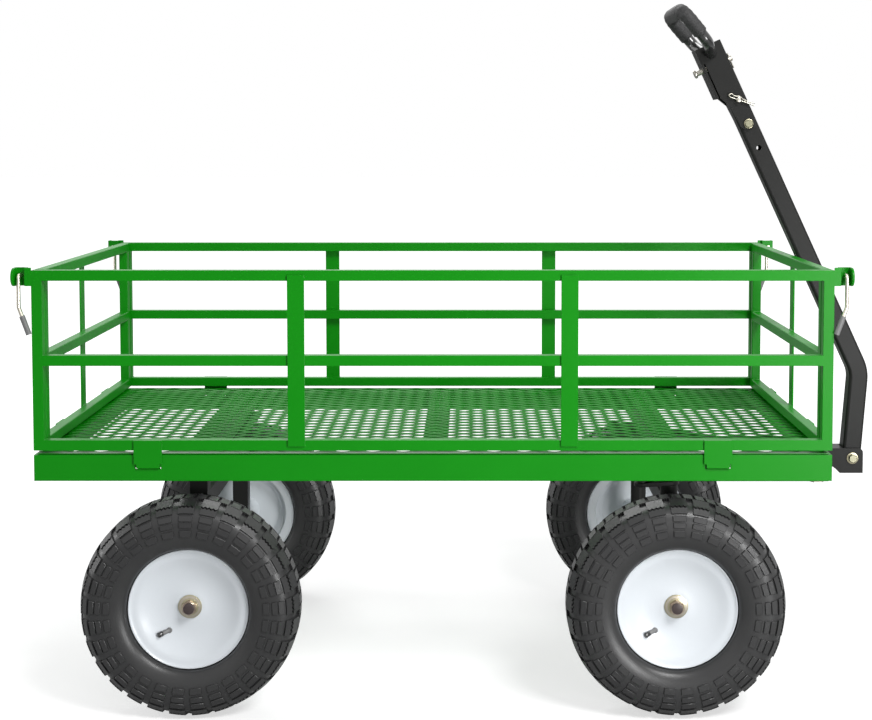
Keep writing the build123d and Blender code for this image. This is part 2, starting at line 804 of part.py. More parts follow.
# Tongue yoke: barrel on the steering pin, tail for the tie rods, cheeks for the tow bar
barrel_bottom = draft_bar_level + draft_bar_wall + seat_gap
barrel_top = frame_bottom - draw_plate_wall - seat_gap
cheek_inner = bar_size / 2 + seat_gap
cheek_outer = cheek_inner + yoke_cheek_wall
yoke_rear = front_edge + yoke_rear_ahead
yoke_front = front_edge + yoke_front_ahead
bar_back_at_stop = tilt_x + (yoke_top - tilt_level) * tan(radians(bar_lean_forward))
stop_front = bar_back_at_stop - bar_size / 2 / cos(radians(bar_lean_forward)) - stop_gap
with BuildPart() as tongue_yoke:
    with BuildSketch(Plane.XY.offset(barrel_bottom)):
        with Locations((steer_x, 0)):
            Circle(yoke_barrel / 2)
    extrude(amount=barrel_top - barrel_bottom)
    with BuildSketch(Plane.XY.offset(arm_level)):
        with Locations((steer_x, 0)):
            Circle(yoke_barrel / 2)
        for side in (-1, 1):
            with Locations((steer_x - steering_arm, side * link_spread / 2)):
                Circle(arm_width / 2)
        make_hull()
    extrude(amount=arm_wall)
    with BuildSketch(Plane.XY.offset(yoke_bottom + yoke_chamfer)):
        with Locations((steer_x, 0)):
            Rectangle(
                yoke_rear + yoke_cheek_wall - steer_x,
                2 * cheek_outer,
                align=(Align.MIN, Align.CENTER),
            )
    extrude(amount=yoke_top - yoke_bottom - yoke_chamfer)
    with BuildSketch(Plane.XZ.offset(-cheek_outer)) as cheek:
        with Locations((yoke_rear, yoke_bottom)):
            Rectangle(yoke_front - yoke_rear, yoke_top - yoke_bottom, align=(Align.MIN, Align.MIN))
        chamfer(cheek.vertices().sort_by(Axis.X)[:2].sort_by(Axis.Y)[0], yoke_chamfer)
        fillet(cheek.vertices().sort_by(Axis.X)[-2:].sort_by(Axis.Y)[-1], yoke_corner)
    extrude(amount=2 * cheek_outer)
    with BuildSketch(Plane.XZ.offset(-cheek_inner)):
        with Locations((yoke_rear + yoke_cheek_wall, yoke_bottom - overrun)):
            Rectangle(
                yoke_front - yoke_rear + overrun,
                yoke_top - yoke_bottom + 2 * overrun,
                align=(Align.MIN, Align.MIN),
            )
    extrude(amount=2 * cheek_inner, mode=Mode.SUBTRACT)
    with BuildSketch(Plane.XZ.offset(-cheek_outer)):
        with Locations((yoke_rear, yoke_top - yoke_stop_wall)):
            Rectangle(stop_front - yoke_rear, yoke_stop_wall, align=(Align.MIN, Align.MIN))
    extrude(amount=2 * cheek_outer)
    with BuildSketch(Plane.XY.offset(barrel_bottom)):
        with Locations((steer_x, 0)):
            Circle(steer_pin / 2 + running_gap)
    extrude(amount=barrel_top - barrel_bottom, mode=Mode.SUBTRACT)
    with BuildSketch(Plane.XZ.offset(-2 * cheek_outer)):
        with Locations((tilt_x, tilt_level)):
            Circle(tilt_bolt / 2)
    extrude(amount=4 * cheek_outer, mode=Mode.SUBTRACT)
    for side in (-1, 1):
        add(link_pin_piece(steer_x - steering_arm, side * link_spread / 2))
save(tongue_yoke.part, "tongue_yoke")


def cross_bolt(x, z, shank, head, half_grip):
    """A bolt along Y with a hexagon head and nut."""
    with BuildPart() as bolt:
        with BuildSketch(Plane.XZ.offset(-half_grip)):
            with Locations((x, z)):
                Circle(shank / 2)
        extrude(amount=2 * half_grip)
        for side in (-1, 1):
            face = Plane(origin=(x, side * half_grip, z), x_dir=(1, 0, 0), z_dir=(0, side, 0))
            with BuildSketch(face):
                RegularPolygon(head / 2, 6, major_radius=False)
            extrude(amount=head * head_height_share)
    return bolt.part


save(cross_bolt(tilt_x, tilt_level, tilt_bolt, grip_bolt_head, cheek_outer), "tilt_bolt")

# Tow bar
bar_foot_x = tilt_x - bar_heel * sin(radians(bar_lean_forward))
bar_foot_z = tilt_level - bar_heel * cos(radians(bar_lean_forward))
bar_top_x, bar_top_z = on_bar(bar_upper_length)
bar_holes = (
    (grip_bolt_along, grip_bolt),
    (lock_pin_along, lock_pin),
    (spare_hole_along, lock_hole),
)
with BuildPart() as tow_bar:
    with BuildLine():
        bar_path = FilletPolyline(
            (bar_foot_x, 0, bar_foot_z),
            (bar_bend_x, 0, bar_bend_level),
            (bar_top_x, 0, bar_top_z),
            radius=bar_bend_radius,
        )
    with BuildSketch(Plane(origin=bar_path @ 0, x_dir=(0, 1, 0), z_dir=bar_path % 0)):
        RectangleRounded(bar_size, bar_size, bar_corner)
        RectangleRounded(
            bar_size - 2 * bar_wall,
            bar_size - 2 * bar_wall,
            bar_corner - bar_wall,
            mode=Mode.SUBTRACT,
        )
    sweep()
    with BuildSketch(Plane.XZ.offset(-bar_size)):
        with Locations((tilt_x, tilt_level)):
            Circle(tilt_bolt / 2 + running_gap)
        for along, hole in bar_holes:
            with Locations(on_bar(along)):
                Circle(hole / 2)
    extrude(amount=2 * bar_size, mode=Mode.SUBTRACT)
    hitch_back = on_bar(hitch_pin_along, -bar_size)
    with BuildSketch(Plane(
        origin=(hitch_back[0], 0, hitch_back[1]),
        x_dir=(0, 1, 0),
        z_dir=(cos(radians(bar_lean_back)), 0, sin(radians(bar_lean_back))),
    )):
        Circle(hitch_pin / 2)
    extrude(amount=2 * bar_size, mode=Mode.SUBTRACT)
save(tow_bar.part, "tow_bar")

# Grip bracket
bracket_half = bar_size / 2 + seat_gap + bracket_wall
side_back = bracket_set_back - bracket_wall - bracket_slit
up_the_bar = Axis((0, 0, 0), (-sin(radians(bar_lean_back)), cos(radians(bar_lean_back)), 0))
with BuildPart() as grip_bracket:
    with BuildSketch(Plane.XZ.offset(-bracket_half)) as bracket_side:
        with BuildLine():
            Polyline(
                on_bar(bracket_slit_end, -bracket_set_back),
                on_bar(bar_upper_length, -bracket_set_back),
                on_bar(bar_upper_length, bar_size / 2 - bracket_wall),
                on_bar(grip_bolt_along, bar_size / 2 - bracket_wall / 2),
                on_bar(grip_bolt_along - bracket_foot / 2, bar_size / 4),
                on_bar(grip_bolt_along - bracket_foot / 2, -bar_size / 4),
                on_bar(grip_bolt_along, -bar_size / 2 + bracket_wall / 2),
                on_bar(bracket_web_start - bracket_foot, -bar_size / 2),
                on_bar(bracket_web_start, -side_back),
                on_bar(bracket_slit_end, -side_back),
                close=True,
            )
        make_face()
        fillet(bracket_side.vertices().sort_by(up_the_bar)[:2], bracket_foot_round)
        with BuildLine():
            Polyline(
                on_bar(bracket_web_start, -bracket_set_back),
                on_bar(bar_upper_length, -bracket_set_back),
                on_bar(bar_upper_length, -bracket_set_back + bracket_wall),
                on_bar(bracket_web_start, -bracket_set_back + bracket_wall),
                close=True,
            )
        make_face()
    extrude(amount=2 * bracket_half)
    with BuildSketch(Plane.XZ.offset(-(bar_size / 2 + seat_gap))):
        with BuildLine():
            Polyline(
                on_bar(0, -bracket_set_back + bracket_wall),
                on_bar(bar_upper_length + overrun, -bracket_set_back + bracket_wall),
                on_bar(bar_upper_length + overrun, bar_size),
                on_bar(0, bar_size),
                close=True,
            )
        make_face()
    extrude(amount=bar_size + 2 * seat_gap, mode=Mode.SUBTRACT)
    with BuildSketch(Plane.XZ.offset(-2 * bracket_half)):
        for along, hole in bar_holes[:2]:
            with Locations(on_bar(along)):
                Circle(hole / 2)
    extrude(amount=4 * bracket_half, mode=Mode.SUBTRACT)
    web_back = on_bar(hitch_pin_along, -2 * bracket_set_back)
    with BuildSketch(Plane(
        origin=(web_back[0], 0, web_back[1]),
        x_dir=(0, 1, 0),
        z_dir=(cos(radians(bar_lean_back)), 0, sin(radians(bar_lean_back))),
    )):
        Circle(hitch_pin / 2)
    extrude(amount=2 * bracket_set_back, mode=Mode.SUBTRACT)
save(grip_bracket.part, "grip_bracket")

save(cross_bolt(*on_bar(grip_bolt_along), grip_bolt, grip_bolt_head, bracket_half), "grip_bolt")

# Hitch pin, stored through the web of the bracket and both walls of the bar
head_face = on_bar(hitch_pin_along, -bracket_set_back - hitch_head_set)
pin_way = (cos(radians(bar_lean_back)), 0, sin(radians(bar_lean_back)))
with BuildPart() as hitch_pin_piece:
    with BuildSketch(Plane(origin=(head_face[0], 0, head_face[1]), x_dir=(0, 1, 0), z_dir=pin_way)):
        Circle(hitch_head / 2)
    extrude(amount=-hitch_head_wall)
    with BuildSketch(Plane(origin=(head_face[0], 0, head_face[1]), x_dir=(0, 1, 0), z_dir=pin_way)):
        Circle(hitch_pin / 2)
    extrude(amount=hitch_pin_length)
save(hitch_pin_piece.part, "hitch_pin")

# Lock pin across the bracket and the bar
with BuildPart() as lock_pin_piece:
    with BuildSketch(Plane.XZ.offset(-(bracket_half + lock_pin_overhang))):
        with Locations(on_bar(lock_pin_along)):
            Circle(lock_pin / 2)
    extrude(amount=2 * (bracket_half + lock_pin_overhang))
save(lock_pin_piece.part, "lock_pin")

# D-grip: a bent tube coped onto the sides of the bracket, with a foam sleeve round its loop
def grip_place(rise, back, half):
    """A point of the D-grip: rise along the bar from its end, back from its middle."""
    x, z = on_bar(bar_upper_length + rise, -back)
    return Vector(x, half, z)


def grip_half_points(side):
    """Foot, knee and top corner of one half of the D-grip."""
    return [
        grip_place(grip_foot_rise, grip_foot_back, side * grip_foot_half),
        grip_place(grip_knee_rise, grip_knee_back, side * grip_knee_half),
        grip_place(grip_top_rise, grip_top_back, side * grip_top_half),
    ]


right_foot, right_knee, right_top = grip_half_points(-1)
left_foot, left_knee, left_top = grip_half_points(1)
with BuildPart() as grip_loop:
    with BuildLine():
        grip_path = FilletPolyline(
            right_foot,
            right_knee,
            right_top,
            left_top,
            left_knee,
            left_foot,
            radius=grip_corner,
        )
    with BuildSketch(Plane(origin=grip_path @ 0, z_dir=grip_path % 0)):
        Circle(grip_tube / 2)
    sweep()
    with Locations((right_foot.X, 0, right_foot.Z)):
        Box(4 * bar_size, 2 * bracket_half, 4 * bar_size, mode=Mode.SUBTRACT)
save(grip_loop.part, "grip_loop")

with BuildPart() as grip_sleeve:
    with BuildLine():
        foam_path = FilletPolyline(
            right_knee + (right_top - right_knee) * foam_start_share,
            right_top,
            left_top,
            left_knee + (left_top - left_knee) * foam_start_share,
            radius=grip_corner,
        )
    with BuildSketch(Plane(origin=foam_path @ 0, z_dir=foam_path % 0)):
        Circle(grip_foam / 2)
        Circle(grip_tube / 2 + running_gap, mode=Mode.SUBTRACT)
    sweep()
save(grip_sleeve.part, "grip_sleeve")
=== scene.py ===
"""Visual model of a steel mesh garden cart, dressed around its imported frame."""
import logging
import math
from dataclasses import dataclass, field
from enum import Enum

import bmesh
import bpy
from mathutils import Matrix, Vector


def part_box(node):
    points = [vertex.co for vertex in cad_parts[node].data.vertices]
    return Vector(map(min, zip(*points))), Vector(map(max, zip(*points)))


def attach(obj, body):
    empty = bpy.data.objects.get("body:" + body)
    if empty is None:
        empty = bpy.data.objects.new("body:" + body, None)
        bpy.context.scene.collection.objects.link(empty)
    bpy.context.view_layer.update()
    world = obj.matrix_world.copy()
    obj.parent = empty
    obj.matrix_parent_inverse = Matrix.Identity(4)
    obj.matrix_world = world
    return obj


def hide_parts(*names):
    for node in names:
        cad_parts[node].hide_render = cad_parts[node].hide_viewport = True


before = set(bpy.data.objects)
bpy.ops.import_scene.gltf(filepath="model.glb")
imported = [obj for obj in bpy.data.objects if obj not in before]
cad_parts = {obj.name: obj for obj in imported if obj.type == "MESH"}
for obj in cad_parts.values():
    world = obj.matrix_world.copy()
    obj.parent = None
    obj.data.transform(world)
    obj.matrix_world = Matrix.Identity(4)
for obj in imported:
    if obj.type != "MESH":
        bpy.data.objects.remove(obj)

LOG = logging.getLogger("garden_cart")
LEVEL = 1e-9
MERGE = 1e-6
Point = tuple[float, float, float]
Flat = tuple[float, float]
Colour = tuple[float, float, float, float]
Verts = list[bmesh.types.BMVert]
Socket = bpy.types.NodeSocket


class Body(Enum):
    """CAD bodies that the pieces ride on."""

    BED = "bed"
    YOKE = "yoke"
    HANDLE = "handle"
    RIGHT_SIDE = "right_side"
    LEFT_SIDE = "left_side"
    REAR_GATE = "rear_gate"
    RIGHT_KNUCKLE = "right_knuckle"
    LEFT_KNUCKLE = "left_knuckle"


class Slot(Enum):
    """Material slots of the record."""

    GREEN = "green_paint"
    BLACK = "black_paint"
    WHITE = "white_paint"
    TYRE = "tyre_rubber"
    ZINC = "zinc"
    FOAM = "foam"
    VINYL = "vinyl"


def fill(node: bpy.types.Node, values: dict[str, float | Colour]) -> None:
    """Set the values of a node's own sockets."""
    for name, value in values.items():
        node.inputs[name].default_value = value


def add(tree: bpy.types.NodeTree, kind: str) -> bpy.types.Node:
    """Add a shader node of a kind."""
    return tree.nodes.new("ShaderNode" + kind)


def wire(source: bpy.types.Node, out: str, target: bpy.types.Node, into: str | int) -> None:
    """Feed an output of a node into an input of another one."""
    source.id_data.links.new(source.outputs[out], target.inputs[into])


@dataclass(frozen=True)
class Finish:
    """A surface finish: two tones mixed by a soft noise, and a fine bump."""

    name: str
    slot: Slot
    base: Colour
    shade: Colour
    mottle: float
    roughness: float
    rough_swing: float
    grain: float
    depth: float
    metallic: float = 0.0
    coat: float = 0.0
    coat_roughness: float = 0.1
    specular: float = 0.5

    def material(self) -> bpy.types.Material:
        """Return the node material of this finish, made on first use.

        Returns:
            The shared material.
        """
        found = bpy.data.materials.get(self.name)
        if found is not None:
            return found
        made = bpy.data.materials.new(self.name)
        made.use_nodes = True
        tree = made.node_tree
        shader = tree.nodes["Principled BSDF"]
        fill(shader, {
            "Metallic": self.metallic, "Coat Weight": self.coat,
            "Coat Roughness": self.coat_roughness, "Specular IOR Level": self.specular,
        })
        place = add(tree, "TexCoord")
        cloud = self.noise(tree, place, self.mottle, 3.0)
        mix = add(tree, "Mix")
        mix.data_type = "RGBA"
        fill(mix, {"A": self.base, "B": self.shade})
        wire(cloud, "Fac", mix, "Factor")
        wire(mix, "Result", shader, "Base Color")
        swing = add(tree, "MapRange")
        low, high = self.roughness - self.rough_swing, self.roughness + self.rough_swing
        fill(swing, {"To Min": low, "To Max": high})
        wire(cloud, "Fac", swing, "Value")
        wire(swing, "Result", shader, "Roughness")
        grain = self.noise(tree, place, self.grain, 2.0)
        bump = add(tree, "Bump")
        fill(bump, {"Distance": self.depth})
        wire(grain, "Fac", bump, "Height")
        wire(bump, "Normal", shader, "Normal")
        return made

    @staticmethod
    def noise(
        tree: bpy.types.NodeTree, place: bpy.types.Node, scale: float, detail: float
    ) -> bpy.types.Node:
        """Add a noise texture on object coordinates.

        Args:
            tree: Node tree that gets the texture.
            place: Texture coordinate node.
            scale: Noise cells in a metre.
            detail: Octaves of the noise.

        Returns:
            The noise node.
        """
        node = add(tree, "TexNoise")
        fill(node, {"Scale": scale, "Detail": detail})
        wire(place, "Object", node, "Vector")
        return node


GREEN = Finish(
    "green_powder_coat", Slot.GREEN, (0.002, 0.235, 0.002, 1), (0.003, 0.270, 0.003, 1),
    9.0, 0.36, 0.05, 900.0, 0.00004, specular=0.20,
)
GREEN_MESH = Finish(
    "green_coated_mesh", Slot.GREEN, (0.004, 0.270, 0.004, 1), (0.002, 0.225, 0.002, 1),
    14.0, 0.30, 0.05, 900.0, 0.00004,
)
BLACK = Finish(
    "black_powder_coat", Slot.BLACK, (0.016, 0.016, 0.0155, 1), (0.021, 0.021, 0.020, 1),
    12.0, 0.36, 0.06, 1100.0, 0.00006, specular=0.13,
)
GLOSS_BLACK = Finish(
    "gloss_black_paint", Slot.BLACK, (0.014, 0.014, 0.014, 1), (0.020, 0.020, 0.020, 1),
    14.0, 0.22, 0.04, 500.0, 0.00003, coat=0.6, coat_roughness=0.08,
)
WHITE = Finish(
    "white_rim_enamel", Slot.WHITE, (0.72, 0.755, 0.79, 1), (0.68, 0.72, 0.76, 1),
    7.0, 0.32, 0.05, 260.0, 0.00005, coat=0.25, coat_roughness=0.14,
)
RUBBER = Finish(
    "black_tyre_rubber", Slot.TYRE, (0.022, 0.022, 0.023, 1), (0.034, 0.034, 0.034, 1),
    22.0, 0.33, 0.06, 1600.0, 0.00010, specular=0.46,
)
ZINC = Finish(
    "zinc_plated_steel", Slot.ZINC, (0.42, 0.41, 0.38, 1), (0.50, 0.47, 0.38, 1),
    60.0, 0.30, 0.08, 700.0, 0.00004, metallic=1.0,
)
YELLOW_ZINC = Finish(
    "yellow_zinc_plate", Slot.ZINC, (0.42, 0.41, 0.27, 1), (0.48, 0.42, 0.30, 1),
    90.0, 0.30, 0.08, 700.0, 0.00004, metallic=1.0,
)
OLIVE_ZINC = Finish(
    "olive_zinc_hexagon", Slot.ZINC, (0.20, 0.195, 0.13, 1), (0.26, 0.25, 0.18, 1),
    90.0, 0.34, 0.08, 700.0, 0.00004, metallic=1.0,
)
TAN_ZINC = Finish(
    "tan_zinc_washer", Slot.ZINC, (0.46, 0.42, 0.35, 1), (0.56, 0.51, 0.43, 1),
    110.0, 0.34, 0.08, 700.0, 0.00004, metallic=1.0,
)
# Painted shade: the axle end is coloured dark reddish brown to stand for the shade inside the hole at
# the middle of the hub.
AXLE_END_SHADE = Finish(
    "axle_end_painted_shade", Slot.BLACK, (0.040, 0.026, 0.026, 1), (0.062, 0.045, 0.042, 1),
    160.0, 0.40, 0.08, 700.0, 0.00006,
)
BROWN_ZINC = Finish(
    "brown_passivated_zinc", Slot.ZINC, (0.34, 0.27, 0.21, 1), (0.44, 0.36, 0.28, 1),
    120.0, 0.30, 0.08, 700.0, 0.00004, metallic=1.0,
)
ROD_ZINC = Finish(
    "bright_zinc_rod", Slot.ZINC, (0.72, 0.69, 0.60, 1), (0.78, 0.72, 0.60, 1),
    60.0, 0.32, 0.08, 700.0, 0.00003, metallic=1.0,
)
FOAM = Finish(
    "black_grip_foam", Slot.FOAM, (0.003, 0.003, 0.003, 1), (0.052, 0.052, 0.053, 1),
    330.0, 0.55, 0.12, 480.0, 0.0012, specular=0.40,
)
VINYL = Finish(
    "grey_dipped_vinyl", Slot.VINYL, (0.16, 0.16, 0.16, 1), (0.20, 0.20, 0.20, 1),
    50.0, 0.45, 0.06, 900.0, 0.00005,
)


def centre(node: str) -> Vector:
    """Return the middle of a CAD node's box."""
    low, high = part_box(node)
    return (low + high) / 2


def linked(name: str, data: bpy.types.ID) -> bpy.types.Object:
    """Return a new object that is in the scene."""
    made = bpy.data.objects.new(name, data)
    bpy.context.scene.collection.objects.link(made)
    return made


def move(x: float, y: float, z: float) -> Matrix:
    """Return a shift of place."""
    return Matrix.Translation((x, y, z))


def about(axis: str, degrees: float) -> Matrix:
    """Return a turn about an axis."""
    return Matrix.Rotation(math.radians(degrees), 4, axis)


@dataclass
class Piece:
    """A mesh under construction that becomes one piece of the cart."""

    name: str
    body: str
    finish: Finish
    smooth: float = 35.0
    mesh: bmesh.types.BMesh = field(default_factory=bmesh.new)

    def block(self, low: Point, high: Point, edge: float = 0.0) -> Verts:
        """Add a block with rounded edges.

        Args:
            low: Lowest corner.
            high: Highest corner.
            edge: Radius of its edges.

        Returns:
            The block's vertices.
        """
        low_v, high_v = Vector(low), Vector(high)
        place = Matrix.Translation((low_v + high_v) / 2) @ Matrix.Diagonal((*(high_v - low_v), 1))
        made = bmesh.ops.create_cube(self.mesh, size=1.0, matrix=place)
        return self.soften(made["verts"], edge) if edge else made["verts"]

    def soften(
        self, verts: Verts, edge: float, segments: int = 2, level_only: bool = False
    ) -> Verts:
        """Round the edges among some vertices.

        Args:
            verts: Vertices whose shared edges are rounded.
            edge: Radius of the rounding.
            segments: Steps of the rounding.
            level_only: Whether to round only the edges that keep one height.

        Returns:
            The vertices of the rounded shape.
        """
        inside = set(verts)
        edges = [e for e in self.mesh.edges if set(e.verts) <= inside]
        if level_only:
            edges = [e for e in edges if abs(e.verts[0].co.z - e.verts[1].co.z) < LEVEL]
        made = bmesh.ops.bevel(
            self.mesh, geom=edges, offset=edge, affect="EDGES", segments=segments,
            profile=0.5, material=-1, clamp_overlap=True,
        )
        kept = [v for v in verts if v.is_valid]
        return list(dict.fromkeys([*kept, *made["verts"]]))

    def turned(self, section: list[Flat], steps: int) -> None:
        """Spin a closed section round the Y axis.

        Args:
            section: Places as (outwards along Y, radius).
            steps: Number of steps round the axis.
        """
        verts = [self.mesh.verts.new((0.0, along, radius)) for along, radius in section]
        edges = [self.mesh.edges.new((a, b)) for a, b in zip(verts, verts[1:] + verts[:1])]
        bmesh.ops.spin(
            self.mesh, geom=verts + edges, cent=(0, 0, 0), axis=(0, 1, 0),
            angle=math.tau, steps=steps, use_merge=True, use_duplicate=False,
        )
        bmesh.ops.remove_doubles(self.mesh, verts=self.mesh.verts, dist=MERGE)
        bmesh.ops.recalc_face_normals(self.mesh, faces=self.mesh.faces)

    def prism(self, outline: list[Flat], height: float, place: Matrix) -> None:
        """Add a plate with a given outline.

        Args:
            outline: Corners in the plate's own plane.
            height: Thickness, away from the plane.
            place: Matrix from the plane to the cart.
        """
        foot = [self.mesh.verts.new((x, y, 0.0)) for x, y in outline]
        lifted = bmesh.ops.extrude_face_region(self.mesh, geom=[self.mesh.faces.new(foot)])
        top = [v for v in lifted["geom"] if isinstance(v, bmesh.types.BMVert)]
        bmesh.ops.translate(self.mesh, vec=(0, 0, height), verts=top)
        verts = foot + top
        self.face_outwards(verts)
        bmesh.ops.transform(self.mesh, matrix=place, verts=verts)

    def face_outwards(self, verts: Verts) -> None:
        """Make the faces round some vertices point outwards."""
        faces = dict.fromkeys(f for v in verts for f in v.link_faces)
        bmesh.ops.recalc_face_normals(self.mesh, faces=list(faces))

    def column(self, sides: int, radius: float, height: float) -> Verts:
        """Add a straight column that stands on the origin.

        Args:
            sides: Number of its sides.
            radius: Radius of its corners.
            height: Height along Z.

        Returns:
            The column's vertices.
        """
        return bmesh.ops.create_cone(
            self.mesh, cap_ends=True, segments=sides, radius1=radius, radius2=radius,
            depth=height, matrix=move(0, 0, height / 2),
        )["verts"]

    def hexagon(self, across: float, height: float, place: Matrix, edge: float) -> None:
        """Add a hexagonal nut or head.

        Args:
            across: Size across its flats.
            height: Height along its own axis.
            place: Matrix from its seat to the cart.
            edge: Radius of its edges.
        """
        radius = across / 2 / math.cos(math.pi / 6)
        verts = self.soften(self.column(6, radius, height), edge, 1)
        bmesh.ops.transform(self.mesh, matrix=place, verts=verts)

    def disc(self, radius: float, height: float, place: Matrix, edge: float, steps: int) -> None:
        """Add a round washer, pin or boss with softened rims.

        Args:
            radius: Its radius.
            height: Height along its own axis.
            place: Matrix from its seat to the cart.
            edge: Radius of its rims.
            steps: Sides of the circle.
        """
        verts = self.soften(self.column(steps, radius, height), edge, level_only=True)
        bmesh.ops.transform(self.mesh, matrix=place, verts=verts)

    def shape(self) -> bpy.types.Mesh:
        """Hand over the finished mesh.

        Returns:
            A mesh with the name of the piece.
        """
        data = bpy.data.meshes.new(self.name)
        self.mesh.to_mesh(data)
        self.mesh.free()
        return data

    def finish_up(self, replaced: tuple[str, ...] = ()) -> bpy.types.Object:
        """Turn the mesh into an object that rides on its body.

        Args:
            replaced: CAD nodes that the piece stands for.

        Returns:
            The finished object.
        """
        return settle(self.name, self.shape(), self.body, self.finish, self.smooth, replaced)


def settle(
    name: str, data: bpy.types.Mesh, body: str, finish: Finish, smooth: float,
    replaced: tuple[str, ...] = (),
) -> bpy.types.Object:
    """Link a mesh as a piece, dress it and let it ride.

    Args:
        name: Name of the piece.
        data: Its mesh, in place.
        body: Body that it rides on.
        finish: Finish that it wears.
        smooth: Angle in degrees above which an edge stays sharp.
        replaced: CAD nodes that the piece stands for.

    Returns:
        The object.
    """
    made = linked(name, data)
    data.shade_smooth()
    data.set_sharp_from_angle(angle=math.radians(smooth))
    data.materials.clear()
    data.materials.append(finish.material())
    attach(made, body)
    if replaced:
        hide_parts(*replaced)
    LOG.info("%s: %d faces on %s", name, len(data.polygons), body)
    return made


def tube_mesh(path: list[Vector], radius: float, ring: int, steps: int = 12) -> bpy.types.Mesh:
    """Sweep a round section along a smooth line.

    Args:
        path: Control points of the line.
        radius: Radius of the section.
        ring: Resolution of the section.
        steps: Resolution of the line.

    Returns:
        The mesh of the swept tube.
    """
    curve = bpy.data.curves.new("line", "CURVE")
    curve.dimensions = "3D"
    curve.bevel_depth = radius
    curve.bevel_resolution = ring
    curve.use_fill_caps = True
    curve.resolution_u = steps
    spline = curve.splines.new("NURBS")
    spline.points.add(len(path) - 1)
    for point, place in zip(spline.points, path):
        point.co = (*place, 1.0)
    spline.order_u = 3
    spline.use_endpoint_u = True
    holder = linked("line", curve)
    made = bpy.data.meshes.new_from_object(
        holder.evaluated_get(bpy.context.evaluated_depsgraph_get())
    )
    bpy.data.objects.remove(holder)
    bpy.data.curves.remove(curve)
    return made


def eased(path: list[Vector], reaches: list[float]) -> list[Vector]:
    """Add a control point on both sides of every corner of a line.

    Args:
        path: Ends and corners of the line.
        reaches: Distance from each corner to its added points.

    Returns:
        The corners with the added points.
    """
    line = [path[0]]
    for before, corner, after, reach in zip(path, path[1:], path[2:], reaches):
        near, far = (corner + (end - corner).normalized() * reach for end in (before, after))
        line += [near, corner, far]
    return [*line, path[-1]]


@dataclass
class Dresser:
    """Gives the CAD nodes that stay their finishes and softened edges."""

    merge: float = 1e-5
    flat_angle: float = 1.0
    sharp_angle: float = 40.0
    segments: int = 2

    def wear(self, nodes: tuple[str, ...], finish: Finish, edge: float) -> None:
        """Dress some CAD nodes.

        Args:
            nodes: Names of the nodes.
            finish: Finish that they wear.
            edge: Width of the softened edges, or 0 to leave them.
        """
        for node in nodes:
            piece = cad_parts[node]
            piece.data.materials.clear()
            piece.data.materials.append(finish.material())
            if edge:
                weld = piece.modifiers.new("merge", "WELD")
                weld.merge_threshold = self.merge
                flat = piece.modifiers.new("flatten", "DECIMATE")
                flat.decimate_type = "DISSOLVE"
                flat.angle_limit = math.radians(self.flat_angle)
                soft = piece.modifiers.new("soften", "BEVEL")
                soft.width = edge
                soft.segments = self.segments
                soft.limit_method = "ANGLE"
                soft.angle_limit = math.radians(self.sharp_angle)
                even = piece.modifiers.new("even", "WEIGHTED_NORMAL")
                even.keep_sharp = True
            LOG.info("%s wears %s", node, finish.name)


@dataclass
class MeshDeck:
    """Raised expanded metal: zigzag strands joined side by side at their knuckles."""

    columns: int = 26
    rows: int = 24
    strand: float = 0.0026
    wall: float = 0.0012
    tilt: float = 30.0
    knuckle: float = 0.0046
    inset: float = 0.010
    margin: float = 0.013

    def build(self) -> None:
        """Build the strands over the whole deck."""
        low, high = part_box("deck_mesh")
        long_way = (high.x - low.x) / self.columns
        short_way = (high.y - low.y - 2 * self.inset) / self.rows
        middle = (low.z + high.z) / 2
        piece = Piece("expanded_metal_deck", Body.BED.value, GREEN_MESH, smooth=30)
        for half in (0, 1):
            base = low.y + self.inset + half * short_way / 2
            ends = (base + self.strand / 2, base + short_way / 2 - self.strand / 2)
            self.zigzag(piece, low.x, high.x, long_way, ends if half == 0 else ends[::-1], middle)
        made = piece.finish_up(("deck_mesh",))
        array = made.modifiers.new("rows", "ARRAY")
        array.count = self.rows
        array.use_relative_offset = False
        array.use_constant_offset = True
        array.constant_offset_displace = (0.0, short_way, 0.0)
        edges = Piece("deck_mesh_margins", Body.BED.value, GREEN_MESH, smooth=30)
        for edge in (low.y, high.y - self.margin):
            edges.block(
                (low.x, edge, middle - self.wall / 2),
                (high.x, edge + self.margin, middle + self.wall / 2),
            )
        edges.finish_up()

    def zigzag(
        self, piece: Piece, start: float, end: float, pitch: float, ends: Flat, level: float
    ) -> None:
        """Add one zigzag strand.

        Args:
            piece: Piece that gets the strand.
            start: Lowest X.
            end: Highest X.
            pitch: Long way of a diamond.
            ends: Y of the knuckles at whole and at half pitches.
            level: Z of the strand's middle.
        """
        bm = piece.mesh
        verts = bmesh.ops.create_grid(bm, x_segments=1, y_segments=1, size=0.5)["verts"]
        at = Vector((start, ends[0], level))
        size = Matrix.Diagonal((1, self.strand, self.wall, 1))
        place = Matrix.Translation(at) @ about("X", self.tilt) @ size @ about("Y", 90)
        bmesh.ops.transform(bm, matrix=place, verts=verts)
        face = verts[0].link_faces[0]
        knots: list[Vector] = []
        for step in range(1, 2 * self.columns + 1):
            x = start + step * pitch / 2
            for side in (-1, 1):
                knot_x = min(x + side * self.knuckle / 2, end)
                knots.append(Vector((knot_x, ends[step % 2], level)))
        for knot in knots:
            face = bmesh.ops.extrude_discrete_faces(bm, faces=[face])["faces"][0]
            bmesh.ops.translate(bm, vec=knot - at, verts=list(face.verts))
            at = knot


